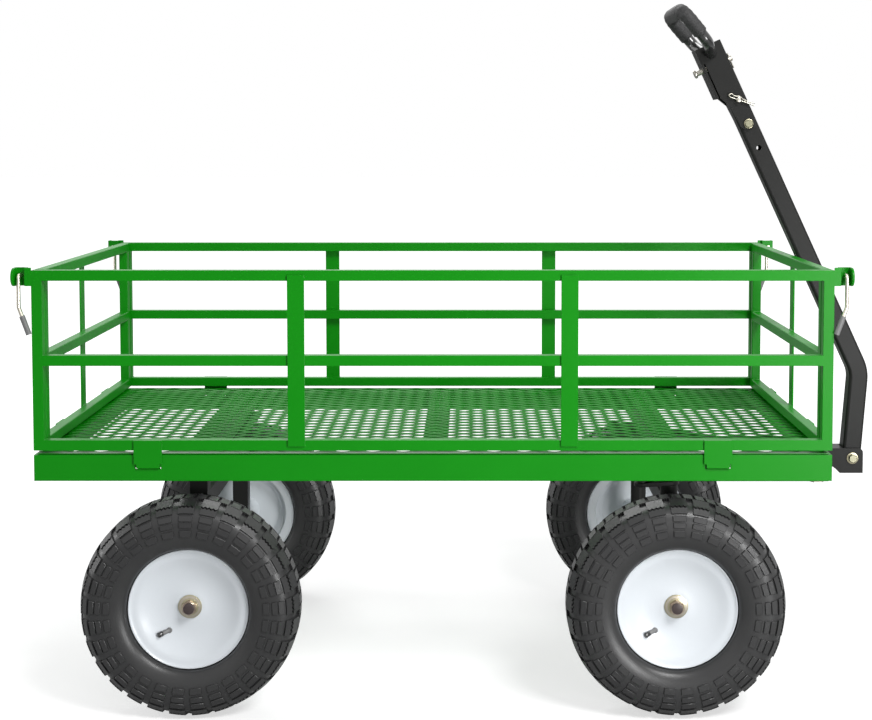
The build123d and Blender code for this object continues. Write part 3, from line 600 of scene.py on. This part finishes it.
@dataclass
class Tyre:
    """Pneumatic tyre with shoulder lugs and a blocky crown."""

    widest: float = 0.0484
    crown: float = 0.1645
    waist: float = 0.1265
    bead: float = 0.0935
    bead_side: float = 0.0318
    bead_inside: tuple[Flat, ...] = ((0.0285, 0.0924), (0.0268, 0.0880), (0.0266, 0.0790))
    outer: float = 0.1684
    steps: int = 144
    crown_steps: int = 40
    crown_power: float = 0.70
    wall_steps: int = 16
    wall_power: float = 0.9
    lugs: int = 29
    flank_lift: float = 0.0024
    flank_blocks: tuple[tuple[float, float, float], ...] = (
        (0.1492, 0.1412, 0.0108), (0.1393, 0.1308, 0.0104), (0.1289, 0.1190, 0.0100),
    )
    flank_edge: float = 0.0007
    root: float = 0.0012
    shoulder_start: float = 0.0370
    shoulder_radius: float = 0.1515
    shoulder_half: float = 0.0124
    shoulder_lift: float = 0.0028
    crown_ends: Flat = (0.0150, 0.0345)
    crown_half: float = 0.0126
    teeth: int = 8
    tooth: float = 0.0022
    centre_reach: float = 0.0120
    centre_half: float = 0.0068
    centre_tooth: float = 0.0020
    stretch: float = 0.35
    section: list[Flat] = field(default_factory=list)
    run: list[float] = field(default_factory=list)

    def __post_init__(self) -> None:
        """Work out the half section from the crown's middle to the bead."""
        rise = self.crown - self.waist
        for step in range(self.crown_steps + 1):
            turn = math.pi / 2 * (1 - step / self.crown_steps)
            self.section.append((
                self.widest * math.cos(turn) ** self.crown_power,
                self.waist + rise * max(math.sin(turn), 0.0) ** self.crown_power,
            ))
        narrowing = self.widest - self.bead_side
        for step in range(1, self.wall_steps + 1):
            turn = math.pi / 2 * step / self.wall_steps
            self.section.append((
                self.bead_side + narrowing * max(math.cos(turn), 0.0) ** self.wall_power,
                self.waist - (self.waist - self.bead) * math.sin(turn),
            ))
        total = 0.0
        self.run.append(total)
        for a, b in zip(self.section, self.section[1:]):
            total += math.dist(a, b)
            self.run.append(total)

    def on_skin(self, along: float, lift: float) -> Flat:
        """Return a place on the section.

        Args:
            along: Distance along the section from the crown's middle, signed by side.
            lift: Height above the skin.

        Returns:
            The place as (outwards along Y, radius).
        """
        side = -1.0 if along < 0 else 1.0
        want = min(abs(along), self.run[-1] - MERGE)
        spot = next(i for i in range(1, len(self.run)) if self.run[i] >= want)
        share = (want - self.run[spot - 1]) / (self.run[spot] - self.run[spot - 1])
        (ay, ar), (by, br) = self.section[spot - 1], self.section[spot]
        y, r = ay + (by - ay) * share, ar + (br - ar) * share
        length = math.hypot(by - ay, br - ar)
        ny, nr = -(br - ar) / length, (by - ay) / length
        return side * (y + ny * lift), r + nr * lift

    def along_at(self, radius: float) -> float:
        """Return the distance along the section where the sidewall has a radius."""
        spots = (run for (_, r), run in zip(self.section, self.run) if r <= radius)
        return next(spots, self.run[-1])

    def wrap(self, verts: Verts) -> None:
        """Wrap flat tread onto the tyre.

        Args:
            verts: Vertices as (along the section, round the tyre, height).
        """
        for vert in verts:
            y, r = self.on_skin(vert.co.x, vert.co.z)
            skin = self.on_skin(vert.co.x, 0.0)[1]
            girth = self.stretch * self.crown + (1 - self.stretch) * skin
            turn = vert.co.y / girth
            vert.co = Vector((r * math.sin(turn), y, r * math.cos(turn)))

    def toothed(
        self, start: float, end: float, half: float, first: float, last: float
    ) -> list[Flat]:
        """Outline a block with saw teeth on its two ends.

        Args:
            start: Near end along the section.
            end: Far end along the section.
            half: Half width round the tyre.
            first: Height of the teeth on the near end.
            last: Height of the teeth on the far end.

        Returns:
            The outline's corners.
        """
        steps = range(self.teeth + 1)
        spread = [(-half + 2 * half * step / self.teeth, step % 2) for step in steps]
        near = [(start + first * odd, across) for across, odd in spread]
        far = [(end + last * odd, across) for across, odd in reversed(spread)]
        return near + far

    def tread(self, piece: Piece) -> None:
        """Add the lugs and crown blocks of the whole tyre.

        Args:
            piece: Piece that gets the tread.
        """
        bm = piece.mesh
        pitch = math.tau * self.crown / self.lugs
        before = set(bm.verts)
        lift = self.outer - self.crown
        shoulder_end = self.along_at(self.shoulder_radius)
        shoulder = self.toothed(self.shoulder_start, shoulder_end, self.shoulder_half, self.tooth, 0.0)
        crown = self.toothed(*self.crown_ends, self.crown_half, 0.0, self.tooth)
        for side in (-1, 1):
            for top, bottom, half in self.flank_blocks:
                self.lay_block(piece, side, self.along_at(top), self.along_at(bottom), half)
            self.lay_outline(piece, side, shoulder, self.shoulder_lift)
            self.lay_outline(piece, side, crown, lift)
        reach, tooth = self.centre_reach, self.centre_tooth
        centre_block = self.toothed(-reach, reach, self.centre_half, tooth, tooth)
        for offset in (0.0, pitch / 2):
            shifted = [(x, y + offset) for x, y in centre_block]
            self.lay_outline(piece, 1, shifted, lift)
        fresh = [v for v in bm.verts if v not in before]
        self.wrap(fresh)
        edges = dict.fromkeys(e for v in fresh for e in v.link_edges)
        faces = dict.fromkeys(f for v in fresh for f in v.link_faces)
        bmesh.ops.spin(
            bm, geom=[*fresh, *edges, *faces], cent=(0, 0, 0), axis=(0, 1, 0),
            angle=math.tau * (self.lugs - 1) / self.lugs, steps=self.lugs - 1,
            use_merge=False, use_duplicate=True,
        )

    def lay_block(self, piece: Piece, side: int, start: float, end: float, half: float) -> None:
        """Lay one flat lug of the flank on the unrolled tread.

        Args:
            piece: Piece that gets the lug.
            side: Side of the tyre, -1 or 1.
            start: Near end along the section.
            end: Far end along the section.
            half: Half width round the tyre.
        """
        low, high = sorted((side * start, side * end))
        verts = piece.block((low, -half, -self.root), (high, half, self.flank_lift))
        piece.face_outwards(verts)
        piece.soften(verts, self.flank_edge, 1)

    def lay_outline(self, piece: Piece, side: int, outline: list[Flat], height: float) -> None:
        """Lay one toothed block on the unrolled tread.

        Args:
            piece: Piece that gets the block.
            side: Side of the tyre, -1 or 1.
            outline: Corners of the block on the side 1.
            height: Height above the skin.
        """
        flat = [(side * x, y) for x, y in outline]
        piece.prism(flat, height + self.root, move(0, 0, -self.root))

    def mesh(self) -> bpy.types.Mesh:
        """Build the tyre at the origin with its outer side at -Y.

        Returns:
            The tyre's mesh.
        """
        piece = Piece("tyre_shape", Body.BED.value, RUBBER)
        right = [*self.section, *self.bead_inside]
        piece.turned([*right, *((-y, r) for y, r in reversed(right[1:]))], self.steps)
        self.tread(piece)
        return piece.shape()


@dataclass
class Rim:
    """Pressed steel rim with a rolled lip, a well and a dished disc."""

    steps: int = 96
    face: tuple[Flat, ...] = (
        (0.0296, 0.0918), (0.0306, 0.0922), (0.0315, 0.0916), (0.0316, 0.0905),
        (0.0306, 0.0894), (0.0296, 0.0880), (0.0289, 0.0858), (0.0283, 0.0825),
        (0.0274, 0.0790), (0.0258, 0.0755), (0.0239, 0.0718), (0.0219, 0.0677),
        (0.0199, 0.0632), (0.0181, 0.0583), (0.0165, 0.0530), (0.0152, 0.0470),
        (0.0143, 0.0405), (0.0139, 0.0340), (0.0140, 0.0285), (0.0145, 0.0240),
        (0.0150, 0.0205), (0.0150, 0.0083),
    )
    back: tuple[Flat, ...] = (
        (-0.0400, 0.0083), (-0.0400, 0.0182), (-0.0392, 0.0190), (-0.0050, 0.0190),
        (0.0004, 0.0225), (0.0010, 0.0300), (0.0000, 0.0480), (-0.0010, 0.0580),
        (-0.0040, 0.0625), (-0.0080, 0.0650), (-0.0120, 0.0680), (-0.0150, 0.0735),
        (-0.0200, 0.0752), (-0.0265, 0.0758), (-0.0282, 0.0785), (-0.0286, 0.0860),
        (-0.0302, 0.0885), (-0.0316, 0.0905), (-0.0306, 0.0922), (-0.0290, 0.0915),
        (-0.0276, 0.0880), (-0.0270, 0.0786), (0.0270, 0.0786), (0.0280, 0.0890),
    )

    def mesh(self) -> bpy.types.Mesh:
        """Build the rim at the origin with its outer side at +Y.

        Returns:
            The rim's mesh.
        """
        piece = Piece("rim_shape", Body.BED.value, WHITE)
        piece.turned([*self.face, *self.back], self.steps)
        return piece.shape()


@dataclass
class Wheels:
    """The four wheels with their valves, washers and nuts."""

    hub_face: float = 0.0153
    washer: float = 0.0182
    washer_wall: float = 0.0025
    nut_across: float = 0.021
    nut_height: float = 0.009
    washer_lip: float = 0.0014
    collar_reach: float = 0.0030
    collar_rise: float = 0.0010
    valve_turn: float = 139.0
    valve_way: float = 110.0
    valve_lean: float = 60.0
    valve_seat: Flat = (0.0145, 0.0490)
    valve_foot: Flat = (0.0044, 0.003)
    valve_stem: Flat = (0.0035, 0.012)
    valve_cap: Flat = (0.0041, 0.0088)
    cap_rise: float = 0.0112
    axle_radius: float = 0.0084
    axle_end: float = 0.0308
    wheel_smooth: float = 38.0

    def build(self) -> None:
        """Build every wheel and its small parts."""
        tyre = Tyre().mesh()
        rim = Rim().mesh()
        rows = (
            ("front_right", Body.RIGHT_KNUCKLE), ("front_left", Body.LEFT_KNUCKLE),
            ("rear_right", Body.BED), ("rear_left", Body.BED),
        )
        for name, carrier in rows:
            middle = centre(f"{name}_tyre")
            place = Matrix.Translation(middle) @ about("Z", 180 if middle.y < 0 else 0)
            for part, shape, finish in (("tyre", tyre, RUBBER), ("rim", rim, WHITE)):
                data = shape.copy()
                data.transform(place)
                node = f"{name}_{part}"
                settle(f"{node}_dressed", data, f"{name}_wheel", finish, self.wheel_smooth, (node,))
            self.valve(name, place)
            self.nut(name, carrier.value, place)

    def valve(self, name: str, place: Matrix) -> None:
        """Add the valve stem of a wheel.

        Args:
            name: Wheel that it belongs to.
            place: Matrix from the wheel to the cart.
        """
        seat = place @ about("Y", self.valve_turn) @ move(0, *self.valve_seat)
        aim = seat @ about("Y", self.valve_way - self.valve_turn)
        stand = aim @ about("X", -90)
        stem = stand @ about("X", self.valve_lean)
        neck = Piece(f"{name}_valve", f"{name}_wheel", VINYL)
        neck.disc(*self.valve_foot, stand, edge=0.0010, steps=24)
        neck.disc(*self.valve_stem, stem, edge=0.0010, steps=20)
        neck.finish_up()
        cap = Piece(f"{name}_valve_cap", f"{name}_wheel", GLOSS_BLACK)
        tip = stem @ move(0, 0, self.cap_rise)
        cap.disc(*self.valve_cap, tip, edge=0.0012, steps=20)
        cap.finish_up()

    def nut(self, name: str, carrier: str, place: Matrix) -> None:
        """Add the washer and nut that hold a wheel.

        Args:
            name: Wheel that they hold.
            carrier: Body that they ride on.
            place: Matrix from the wheel to the cart.
        """
        stand = place @ move(0, self.hub_face, 0) @ about("X", -90)
        washer = Piece(f"{name}_washer_rim", carrier, YELLOW_ZINC, smooth=30)
        edge = 0.0006
        washer.disc(self.washer, self.washer_wall - edge, stand, edge, steps=48)
        collar = self.nut_across / 2 + self.collar_reach
        washer.disc(collar, self.washer_wall + self.collar_rise, stand, edge=0.0005, steps=40)
        washer.finish_up()
        face = Piece(f"{name}_washer_face", carrier, TAN_ZINC, smooth=30)
        face.disc(self.washer - self.washer_lip, self.washer_wall, stand, edge=0.0003, steps=48)
        face.finish_up()
        nut = Piece(f"{name}_nut_dressed", carrier, BROWN_ZINC, smooth=30)
        nut_seat = stand @ move(0, 0, self.washer_wall)
        nut.hexagon(self.nut_across, self.nut_height, nut_seat, edge=0.0014)
        nut.finish_up((f"{name}_nut",))
        # The axle end wears painted shade: its dark colour stands for the shaded hole at the hub's
        # middle.
        end = Piece(f"{name}_axle_end", carrier, AXLE_END_SHADE, smooth=30)
        length = self.axle_end - self.hub_face - self.washer_wall
        end.disc(self.axle_radius, length, nut_seat, edge=0.0012, steps=32)
        end.finish_up()


@dataclass
class PullHandle:
    """Bolts, pins, clips and the padded D-grip at the end of the tow bar."""

    lean: float = math.radians(24.8)
    lean_forward: float = math.radians(4.5)
    lower_length: float = 0.150
    upper_length: float = 0.6175
    hitch_along: float = 0.580
    hitch_set: float = 0.0425
    hitch_length: float = 0.066
    hitch_radius: float = 0.00475
    hitch_head: Flat = (0.0070, 0.0045)
    hitch_clip: float = 0.58
    lock_radius: float = 0.00425
    lock_proud: float = 0.009
    lock_clip_lean: float = math.radians(-20)
    lock_clip_up: Point = (0.34, 0.0, 0.94)
    clip_set: float = 0.004
    clip_wire: float = 0.0011
    clip_line: tuple[Flat, ...] = (
        (0.029, 0.0), (-0.008, 0.0), (-0.0145, -0.0012), (-0.0185, 0.0026),
        (-0.0145, 0.0062), (-0.0095, 0.0036), (-0.005, 0.0044), (0.000, 0.0066),
        (0.0055, 0.0040), (0.011, 0.0026), (0.019, 0.0028), (0.028, 0.0044),
    )
    grip_bolt: Flat = (0.0082, 0.0135)
    tilt_bolt: Flat = (0.0100, 0.0140)
    flange_wall: float = 0.0018
    head_height: float = 0.0055
    head_rise: float = 0.0016
    shank_radius: float = 0.0059
    bracket_half: float = 0.0203
    foam_radius: float = 0.01225
    foam_start: float = 0.31
    grip_radius: float = 0.0100
    grip_places: tuple[Point, ...] = (
        (-0.016, -0.009, 0.0175), (0.006, -0.015, 0.072), (0.0705, -0.033, 0.080),
    )
    grip_eases: Flat = (0.020, 0.054)
    crease_count: float = 44.0
    crease_depth: float = 0.0006
    bend: Vector = field(default_factory=Vector)

    def __post_init__(self) -> None:
        """Find the bar's bend from the tilt bolt."""
        way = Vector((math.sin(self.lean_forward), 0.0, math.cos(self.lean_forward)))
        self.bend = centre("tilt_bolt") + self.lower_length * way

    def on_bar(self, along: float, forward: float, side: float) -> Vector:
        """Return a place on the upper bar.

        Args:
            along: Distance up from the bend.
            forward: Distance ahead of the bar's middle.
            side: Y of the place.

        Returns:
            The place in the cart's frame.
        """
        x = self.bend.x - along * math.sin(self.lean) + forward * math.cos(self.lean)
        z = self.bend.z + along * math.cos(self.lean) + forward * math.sin(self.lean)
        return Vector((x, side, z))

    def build(self) -> None:
        """Build the grip and the hardware."""
        self.grip()
        self.bolt("grip_bolt", Body.HANDLE.value, *self.grip_bolt)
        self.bolt("tilt_bolt", Body.YOKE.value, *self.tilt_bolt)
        self.lock_pin()
        self.hitch_pin()

    def grip(self) -> None:
        """Build the bent tube of the D-grip and the foam sleeve round its loop."""
        end = self.upper_length
        feet, knees, tops = (
            [self.on_bar(end + rise, back, side * half) for side in (-1, 1)]
            for rise, back, half in self.grip_places
        )
        knee_ease, top_ease = self.grip_eases
        corners = [feet[0], knees[0], tops[0], tops[1], knees[1], feet[1]]
        line = eased(corners, [knee_ease, top_ease, top_ease, knee_ease])
        data = tube_mesh(line, self.grip_radius, ring=6)
        settle("grip_tube", data, Body.HANDLE.value, GLOSS_BLACK, 60, ("grip_loop",))
        starts = [knee.lerp(top, self.foam_start) for knee, top in zip(knees, tops)]
        line = eased([starts[0], tops[0], tops[1], starts[1]], [top_ease, top_ease])
        data = tube_mesh(line, self.foam_radius, ring=10, steps=28)
        for knee, top, other in zip(knees, tops, reversed(tops)):
            self.crease(data, knee, top, other)
        sleeve = settle("grip_foam", data, Body.HANDLE.value, FOAM, 60, ("grip_sleeve",))

    def crease(self, data: bpy.types.Mesh, knee: Vector, top: Vector, other: Vector) -> None:
        """Press folds into the foam where it goes round a corner of the loop.

        Args:
            data: Mesh of the foam.
            knee: Lower end of the straight side.
            top: Corner of the loop.
            other: Opposite corner.
        """
        down = (knee - top).normalized()
        over = (other - top).normalized()
        reach = self.grip_eases[1]
        pivot = top + (down + over) * reach
        for vert in data.vertices:
            arm = vert.co - pivot
            turn = math.atan2(-arm.dot(down), -arm.dot(over))
            share = math.sin(2 * turn) if 0 < turn < math.pi / 2 else 0.0
            wave = math.cos(turn * self.crease_count)
            vert.co += vert.normal * (self.crease_depth * share * (wave - 1) / 2)

    def bolt(self, node: str, body: str, flange: float, across: float) -> None:
        """Build a cross bolt with flanged hexagon ends.

        Args:
            node: CAD node that it stands for.
            body: Body that it rides on.
            flange: Radius of the flange under each end.
            across: Size across the flats of the ends.
        """
        half = self.bracket_half
        piece = Piece(f"{node}_dressed", body, OLIVE_ZINC, smooth=30)
        rings = Piece(f"{node}_flanges", body, YELLOW_ZINC, smooth=30)
        middle = centre(node)
        for side in (-1, 1):
            stand = move(middle.x, side * half, middle.z) @ about("X", -90 * side)
            rings.disc(flange, self.flange_wall, stand, edge=0.0006, steps=32)
            seat = stand @ move(0, 0, self.head_rise)
            piece.hexagon(across, self.head_height, seat, edge=0.0012)
        stand = move(middle.x, -half, middle.z) @ about("X", -90)
        piece.disc(self.shank_radius, 2 * half, stand, edge=0.0003, steps=24)
        piece.finish_up((node,))
        rings.finish_up()

    def clip(self, name: str, seat: Vector, ahead: Vector, up: Vector, scale: float) -> None:
        """Build a spring clip through a pin.

        Args:
            name: Name of the piece.
            seat: Where its straight leg crosses the pin.
            ahead: Direction of the legs, towards their tips.
            up: Direction from the straight leg to the bent one.
            scale: Size of the clip against the lock pin's.
        """
        path = [seat + ahead * a * scale + up * b * scale for a, b in self.clip_line]
        data = tube_mesh(path, self.clip_wire, ring=3)
        settle(name, data, Body.HANDLE.value, ZINC, 60)

    def lock_pin(self) -> None:
        """Build the lock pin's head and its clip."""
        middle = centre("lock_pin")
        piece = Piece("lock_pin_dressed", Body.HANDLE.value, ZINC, smooth=40)
        half = self.bracket_half + self.lock_proud
        stand = move(middle.x, -half, middle.z) @ about("X", -90)
        piece.disc(self.lock_radius, 2 * half, stand, edge=0.0008, steps=28)
        piece.finish_up(("lock_pin",))
        seat = Vector((middle.x, -half + self.clip_set, middle.z))
        ahead = Vector((math.cos(self.lock_clip_lean), 0, math.sin(self.lock_clip_lean)))
        self.clip("lock_pin_clip", seat, ahead, Vector(self.lock_clip_up), 1.0)

    def hitch_pin(self) -> None:
        """Build the stored hitch pin with its clip."""
        piece = Piece("hitch_pin_dressed", Body.HANDLE.value, ZINC, smooth=40)
        head = self.on_bar(self.hitch_along, -self.hitch_set, 0.0)
        way = Vector((math.cos(self.lean), 0, math.sin(self.lean)))
        stand = Matrix.Translation(head) @ way.to_track_quat("Z", "Y").to_matrix().to_4x4()
        piece.disc(self.hitch_radius, self.hitch_length, stand, edge=0.0012, steps=28)
        under = stand @ move(0, 0, -self.hitch_head[1])
        piece.disc(*self.hitch_head, under, edge=0.0012, steps=28)
        piece.finish_up(("hitch_pin",))
        tip = self.hitch_length - self.hitch_set - self.clip_set
        seat = self.on_bar(self.hitch_along, tip, 0.0)
        up_bar = Vector((-math.sin(self.lean), 0, math.cos(self.lean)))
        self.clip("hitch_pin_clip", seat, -up_bar, Vector((0, 1, 0)), self.hitch_clip)


@dataclass(frozen=True)
class HookPlate:
    """Sizes of a small plate behind a panel's tab, with levels from the deck's top."""

    width: float
    wall: float
    bottom: float
    top: float
    inside: float


@dataclass
class PanelHooks:
    """Cheeks and turned-down lips on the tongues that hook the panels in the deck's slots."""

    side_spacing: float = 0.87
    end_spacing: float = 0.3
    cheek: HookPlate = HookPlate(0.0384, 0.0024, -0.0190, -0.0142, 0.0005)
    lip: HookPlate = HookPlate(0.0346, 0.0015, -0.0245, -0.0198, 0.0055)
    edge: float = 0.0003

    def build(self) -> None:
        """Build the hooks of all four panels."""
        low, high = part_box("deck_frame")
        middle = (low + high) / 2
        rows = (
            ("right_side_hooks", Body.RIGHT_SIDE, Vector((0, -1, 0)), self.side_spacing),
            ("left_side_hooks", Body.LEFT_SIDE, Vector((0, 1, 0)), self.side_spacing),
            ("front_hooks", Body.BED, Vector((1, 0, 0)), self.end_spacing),
            ("rear_gate_hooks", Body.REAR_GATE, Vector((-1, 0, 0)), self.end_spacing),
        )
        for name, body, out, spacing in rows:
            along = Vector((abs(out.y), abs(out.x), 0))
            face = middle + out * abs((high - low).dot(out)) / 2
            face.z = high.z
            piece = Piece(name, body.value, GREEN)
            for side in (-1, 1):
                at = face + along * side * spacing / 2
                for shape in (self.cheek, self.lip):
                    self.plate(piece, shape, at, along, out)
            piece.finish_up()

    def plate(self, piece: Piece, shape: HookPlate, at: Vector, along: Vector, out: Vector) -> None:
        """Add one small plate behind a panel's tab.

        Args:
            piece: Piece that gets the plate.
            shape: Sizes of the plate.
            at: Middle of the tab on the deck's outer face, at the level of its top.
            along: Direction along the panel.
            out: Direction out of the deck.
        """
        near = at - out * shape.inside
        far = near - out * shape.wall
        ends = [p + along * s * shape.width / 2 for p in (near, far) for s in (-1, 1)]
        low = (min(p.x for p in ends), min(p.y for p in ends), at.z + shape.bottom)
        high = (max(p.x for p in ends), max(p.y for p in ends), at.z + shape.top)
        piece.block(low, high, self.edge)


@dataclass(frozen=True)
class Lamp:
    """A soft square lamp: its place, its aim, the side of its face and its watts."""

    name: str
    at: Point
    to: Point
    size: float
    power: float


@dataclass
class Studio:
    """Pale floor, white surround, soft lamps and the camera."""

    camera_at: Point = (0.0561, -2.5656, 0.8861)
    pitch: float = 3.2
    focal: float = 61.78
    shift: Flat = (-0.0387, -0.1592)
    glow_near: float = 0.60
    glow_far: float = 1.0
    glow_start: float = 0.9
    glow_end: float = 3.2
    floor_tone: Colour = (0.64, 0.64, 0.64, 1)
    floor_half: float = 30.0
    air_tone: Colour = (0.97, 0.985, 1.0, 1)
    air_strength: float = 0.25
    lamps: tuple[Lamp, ...] = (
        Lamp("key_lamp", (1.5, -2.4, 2.9), (0.0, 0.0, 0.3), 1.0, 85.0),
        Lamp("sheen_lamp", (1.6, -2.5, 0.35), (0.4, -0.3, 0.4), 0.65, 33.0),
        Lamp("side_lamp", (-3.2, 0.4, 1.3), (0.6, 0.0, 0.8), 1.6, 30.0),
        Lamp("back_lamp", (-0.6, 2.6, 3.2), (0.0, 0.0, 0.4), 2.2, 50.0),
    )

    def build(self) -> None:
        """Build everything around the cart."""
        self.camera()
        self.floor()
        self.surround()
        for lamp in self.lamps:
            self.hang(lamp)

    def camera(self) -> None:
        """Set the camera at the photograph's viewing angle."""
        data = bpy.data.cameras.new("camera")
        data.sensor_width = 36.0
        data.lens = self.focal
        data.shift_x, data.shift_y = self.shift
        made = linked("camera", data)
        made.location = Vector(self.camera_at) + Vector((centre("deck_frame").x, 0.0, 0.0))
        made.rotation_euler = (math.radians(90 - self.pitch), 0.0, 0.0)
        bpy.context.scene.camera = made

    def floor(self) -> None:
        """Lay the pale floor, which keeps the shadow."""
        mesh = bmesh.new()
        bmesh.ops.create_grid(mesh, x_segments=1, y_segments=1, size=self.floor_half)
        data = bpy.data.meshes.new("floor")
        mesh.to_mesh(data)
        mesh.free()
        made = linked("floor", data)
        material = bpy.data.materials.new("pale_floor")
        material.use_nodes = True
        tree = material.node_tree
        tree.nodes.clear()
        matt = add(tree, "BsdfDiffuse")
        fill(matt, {"Color": self.floor_tone})
        glow = add(tree, "Emission")
        place = add(tree, "TexCoord")
        away = add(tree, "VectorMath")
        away.operation = "LENGTH"
        wire(place, "Object", away, 0)
        rise = add(tree, "MapRange")
        rise.interpolation_type = "SMOOTHSTEP"
        fill(rise, {"From Min": self.glow_start, "From Max": self.glow_end})
        fill(rise, {"To Min": self.glow_near, "To Max": self.glow_far})
        wire(away, "Value", rise, "Value")
        rays = add(tree, "LightPath").outputs
        seen = self.combine(tree, "MULTIPLY", rays["Is Camera Ray"], rise.outputs["Result"])
        tree.links.new(seen, glow.inputs["Strength"])
        both = add(tree, "AddShader")
        out = add(tree, "OutputMaterial")
        wire(matt, "BSDF", both, 0)
        wire(glow, "Emission", both, 1)
        wire(both, "Shader", out, "Surface")
        data.materials.append(material)

    def surround(self) -> None:
        """Make the world white to the eye and a soft light for surfaces."""
        world = bpy.data.worlds.new("surround")
        bpy.context.scene.world = world
        world.use_nodes = True
        tree = world.node_tree
        tree.nodes.clear()
        rays = add(tree, "LightPath").outputs
        white = add(tree, "Background")
        fill(white, {"Color": (1, 1, 1, 1)})
        soft = add(tree, "Background")
        fill(soft, {"Color": self.air_tone, "Strength": self.air_strength})
        through = self.combine(tree, "MAXIMUM", rays["Is Camera Ray"], rays["Is Transmission Ray"])
        eye = self.combine(tree, "MAXIMUM", through, rays["Is Glossy Ray"])
        mix = add(tree, "MixShader")
        out = add(tree, "OutputWorld")
        tree.links.new(eye, mix.inputs["Fac"])
        wire(soft, "Background", mix, 1)
        wire(white, "Background", mix, 2)
        wire(mix, "Shader", out, "Surface")

    @staticmethod
    def combine(
        tree: bpy.types.NodeTree, operation: str, first: Socket, second: Socket
    ) -> Socket:
        """Combine two values in a Math node.

        Args:
            tree: Node tree that gets the node.
            operation: What the node does.
            first: Output that feeds its first input.
            second: Output that feeds its second input.

        Returns:
            The combined output.
        """
        node = add(tree, "Math")
        node.operation = operation
        tree.links.new(first, node.inputs[0])
        tree.links.new(second, node.inputs[1])
        return node.outputs["Value"]

    def hang(self, lamp: Lamp) -> None:
        """Hang a soft area lamp.

        Args:
            lamp: The lamp to hang.
        """
        data = bpy.data.lights.new(lamp.name, "AREA")
        data.size = lamp.size
        data.energy = lamp.power
        made = linked(lamp.name, data)
        made.location = lamp.at
        aim = Vector(lamp.to) - Vector(lamp.at)
        made.rotation_euler = aim.to_track_quat("-Z", "Y").to_euler()


def dress_frame() -> None:
    """Dress the CAD nodes that keep their own shape."""
    dresser = Dresser()
    rows = (
        (("right_side_panel", "left_side_panel", "front_panel", "rear_panel"), GREEN, 0.0012),
        (("deck_frame", "cross_members"), GREEN, 0.0010),
        (("rear_axle_frame", "front_axle_frame", "draw_plate", "draft_bar"), BLACK, 0.0010),
        (("tongue_yoke", "grip_bracket"), BLACK, 0.0010),
        (("rear_axle", "right_spindle", "left_spindle"), BLACK, 0.0006),
        (("right_tie_rod", "left_tie_rod"), BLACK, 0.0006),
        (("tow_bar",), BLACK, 0.0),
        (("right_latch_rods", "left_latch_rods"), ROD_ZINC, 0.0),
        (("steering_pin",), ZINC, 0.0),
        (("right_latch_sleeves", "left_latch_sleeves"), VINYL, 0.0),
    )
    for nodes, finish, edge in rows:
        dresser.wear(nodes, finish, edge)


def main() -> None:
    """Build the cart's looks."""
    logging.basicConfig(level=logging.INFO, format="%(name)s: %(message)s")
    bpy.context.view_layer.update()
    bpy.context.scene.view_settings.view_transform = "Standard"
    Studio().build()
    dress_frame()
    for assembly in (MeshDeck(), PanelHooks(), Wheels(), PullHandle()):
        assembly.build()


if __name__ == "__main__":
    main()
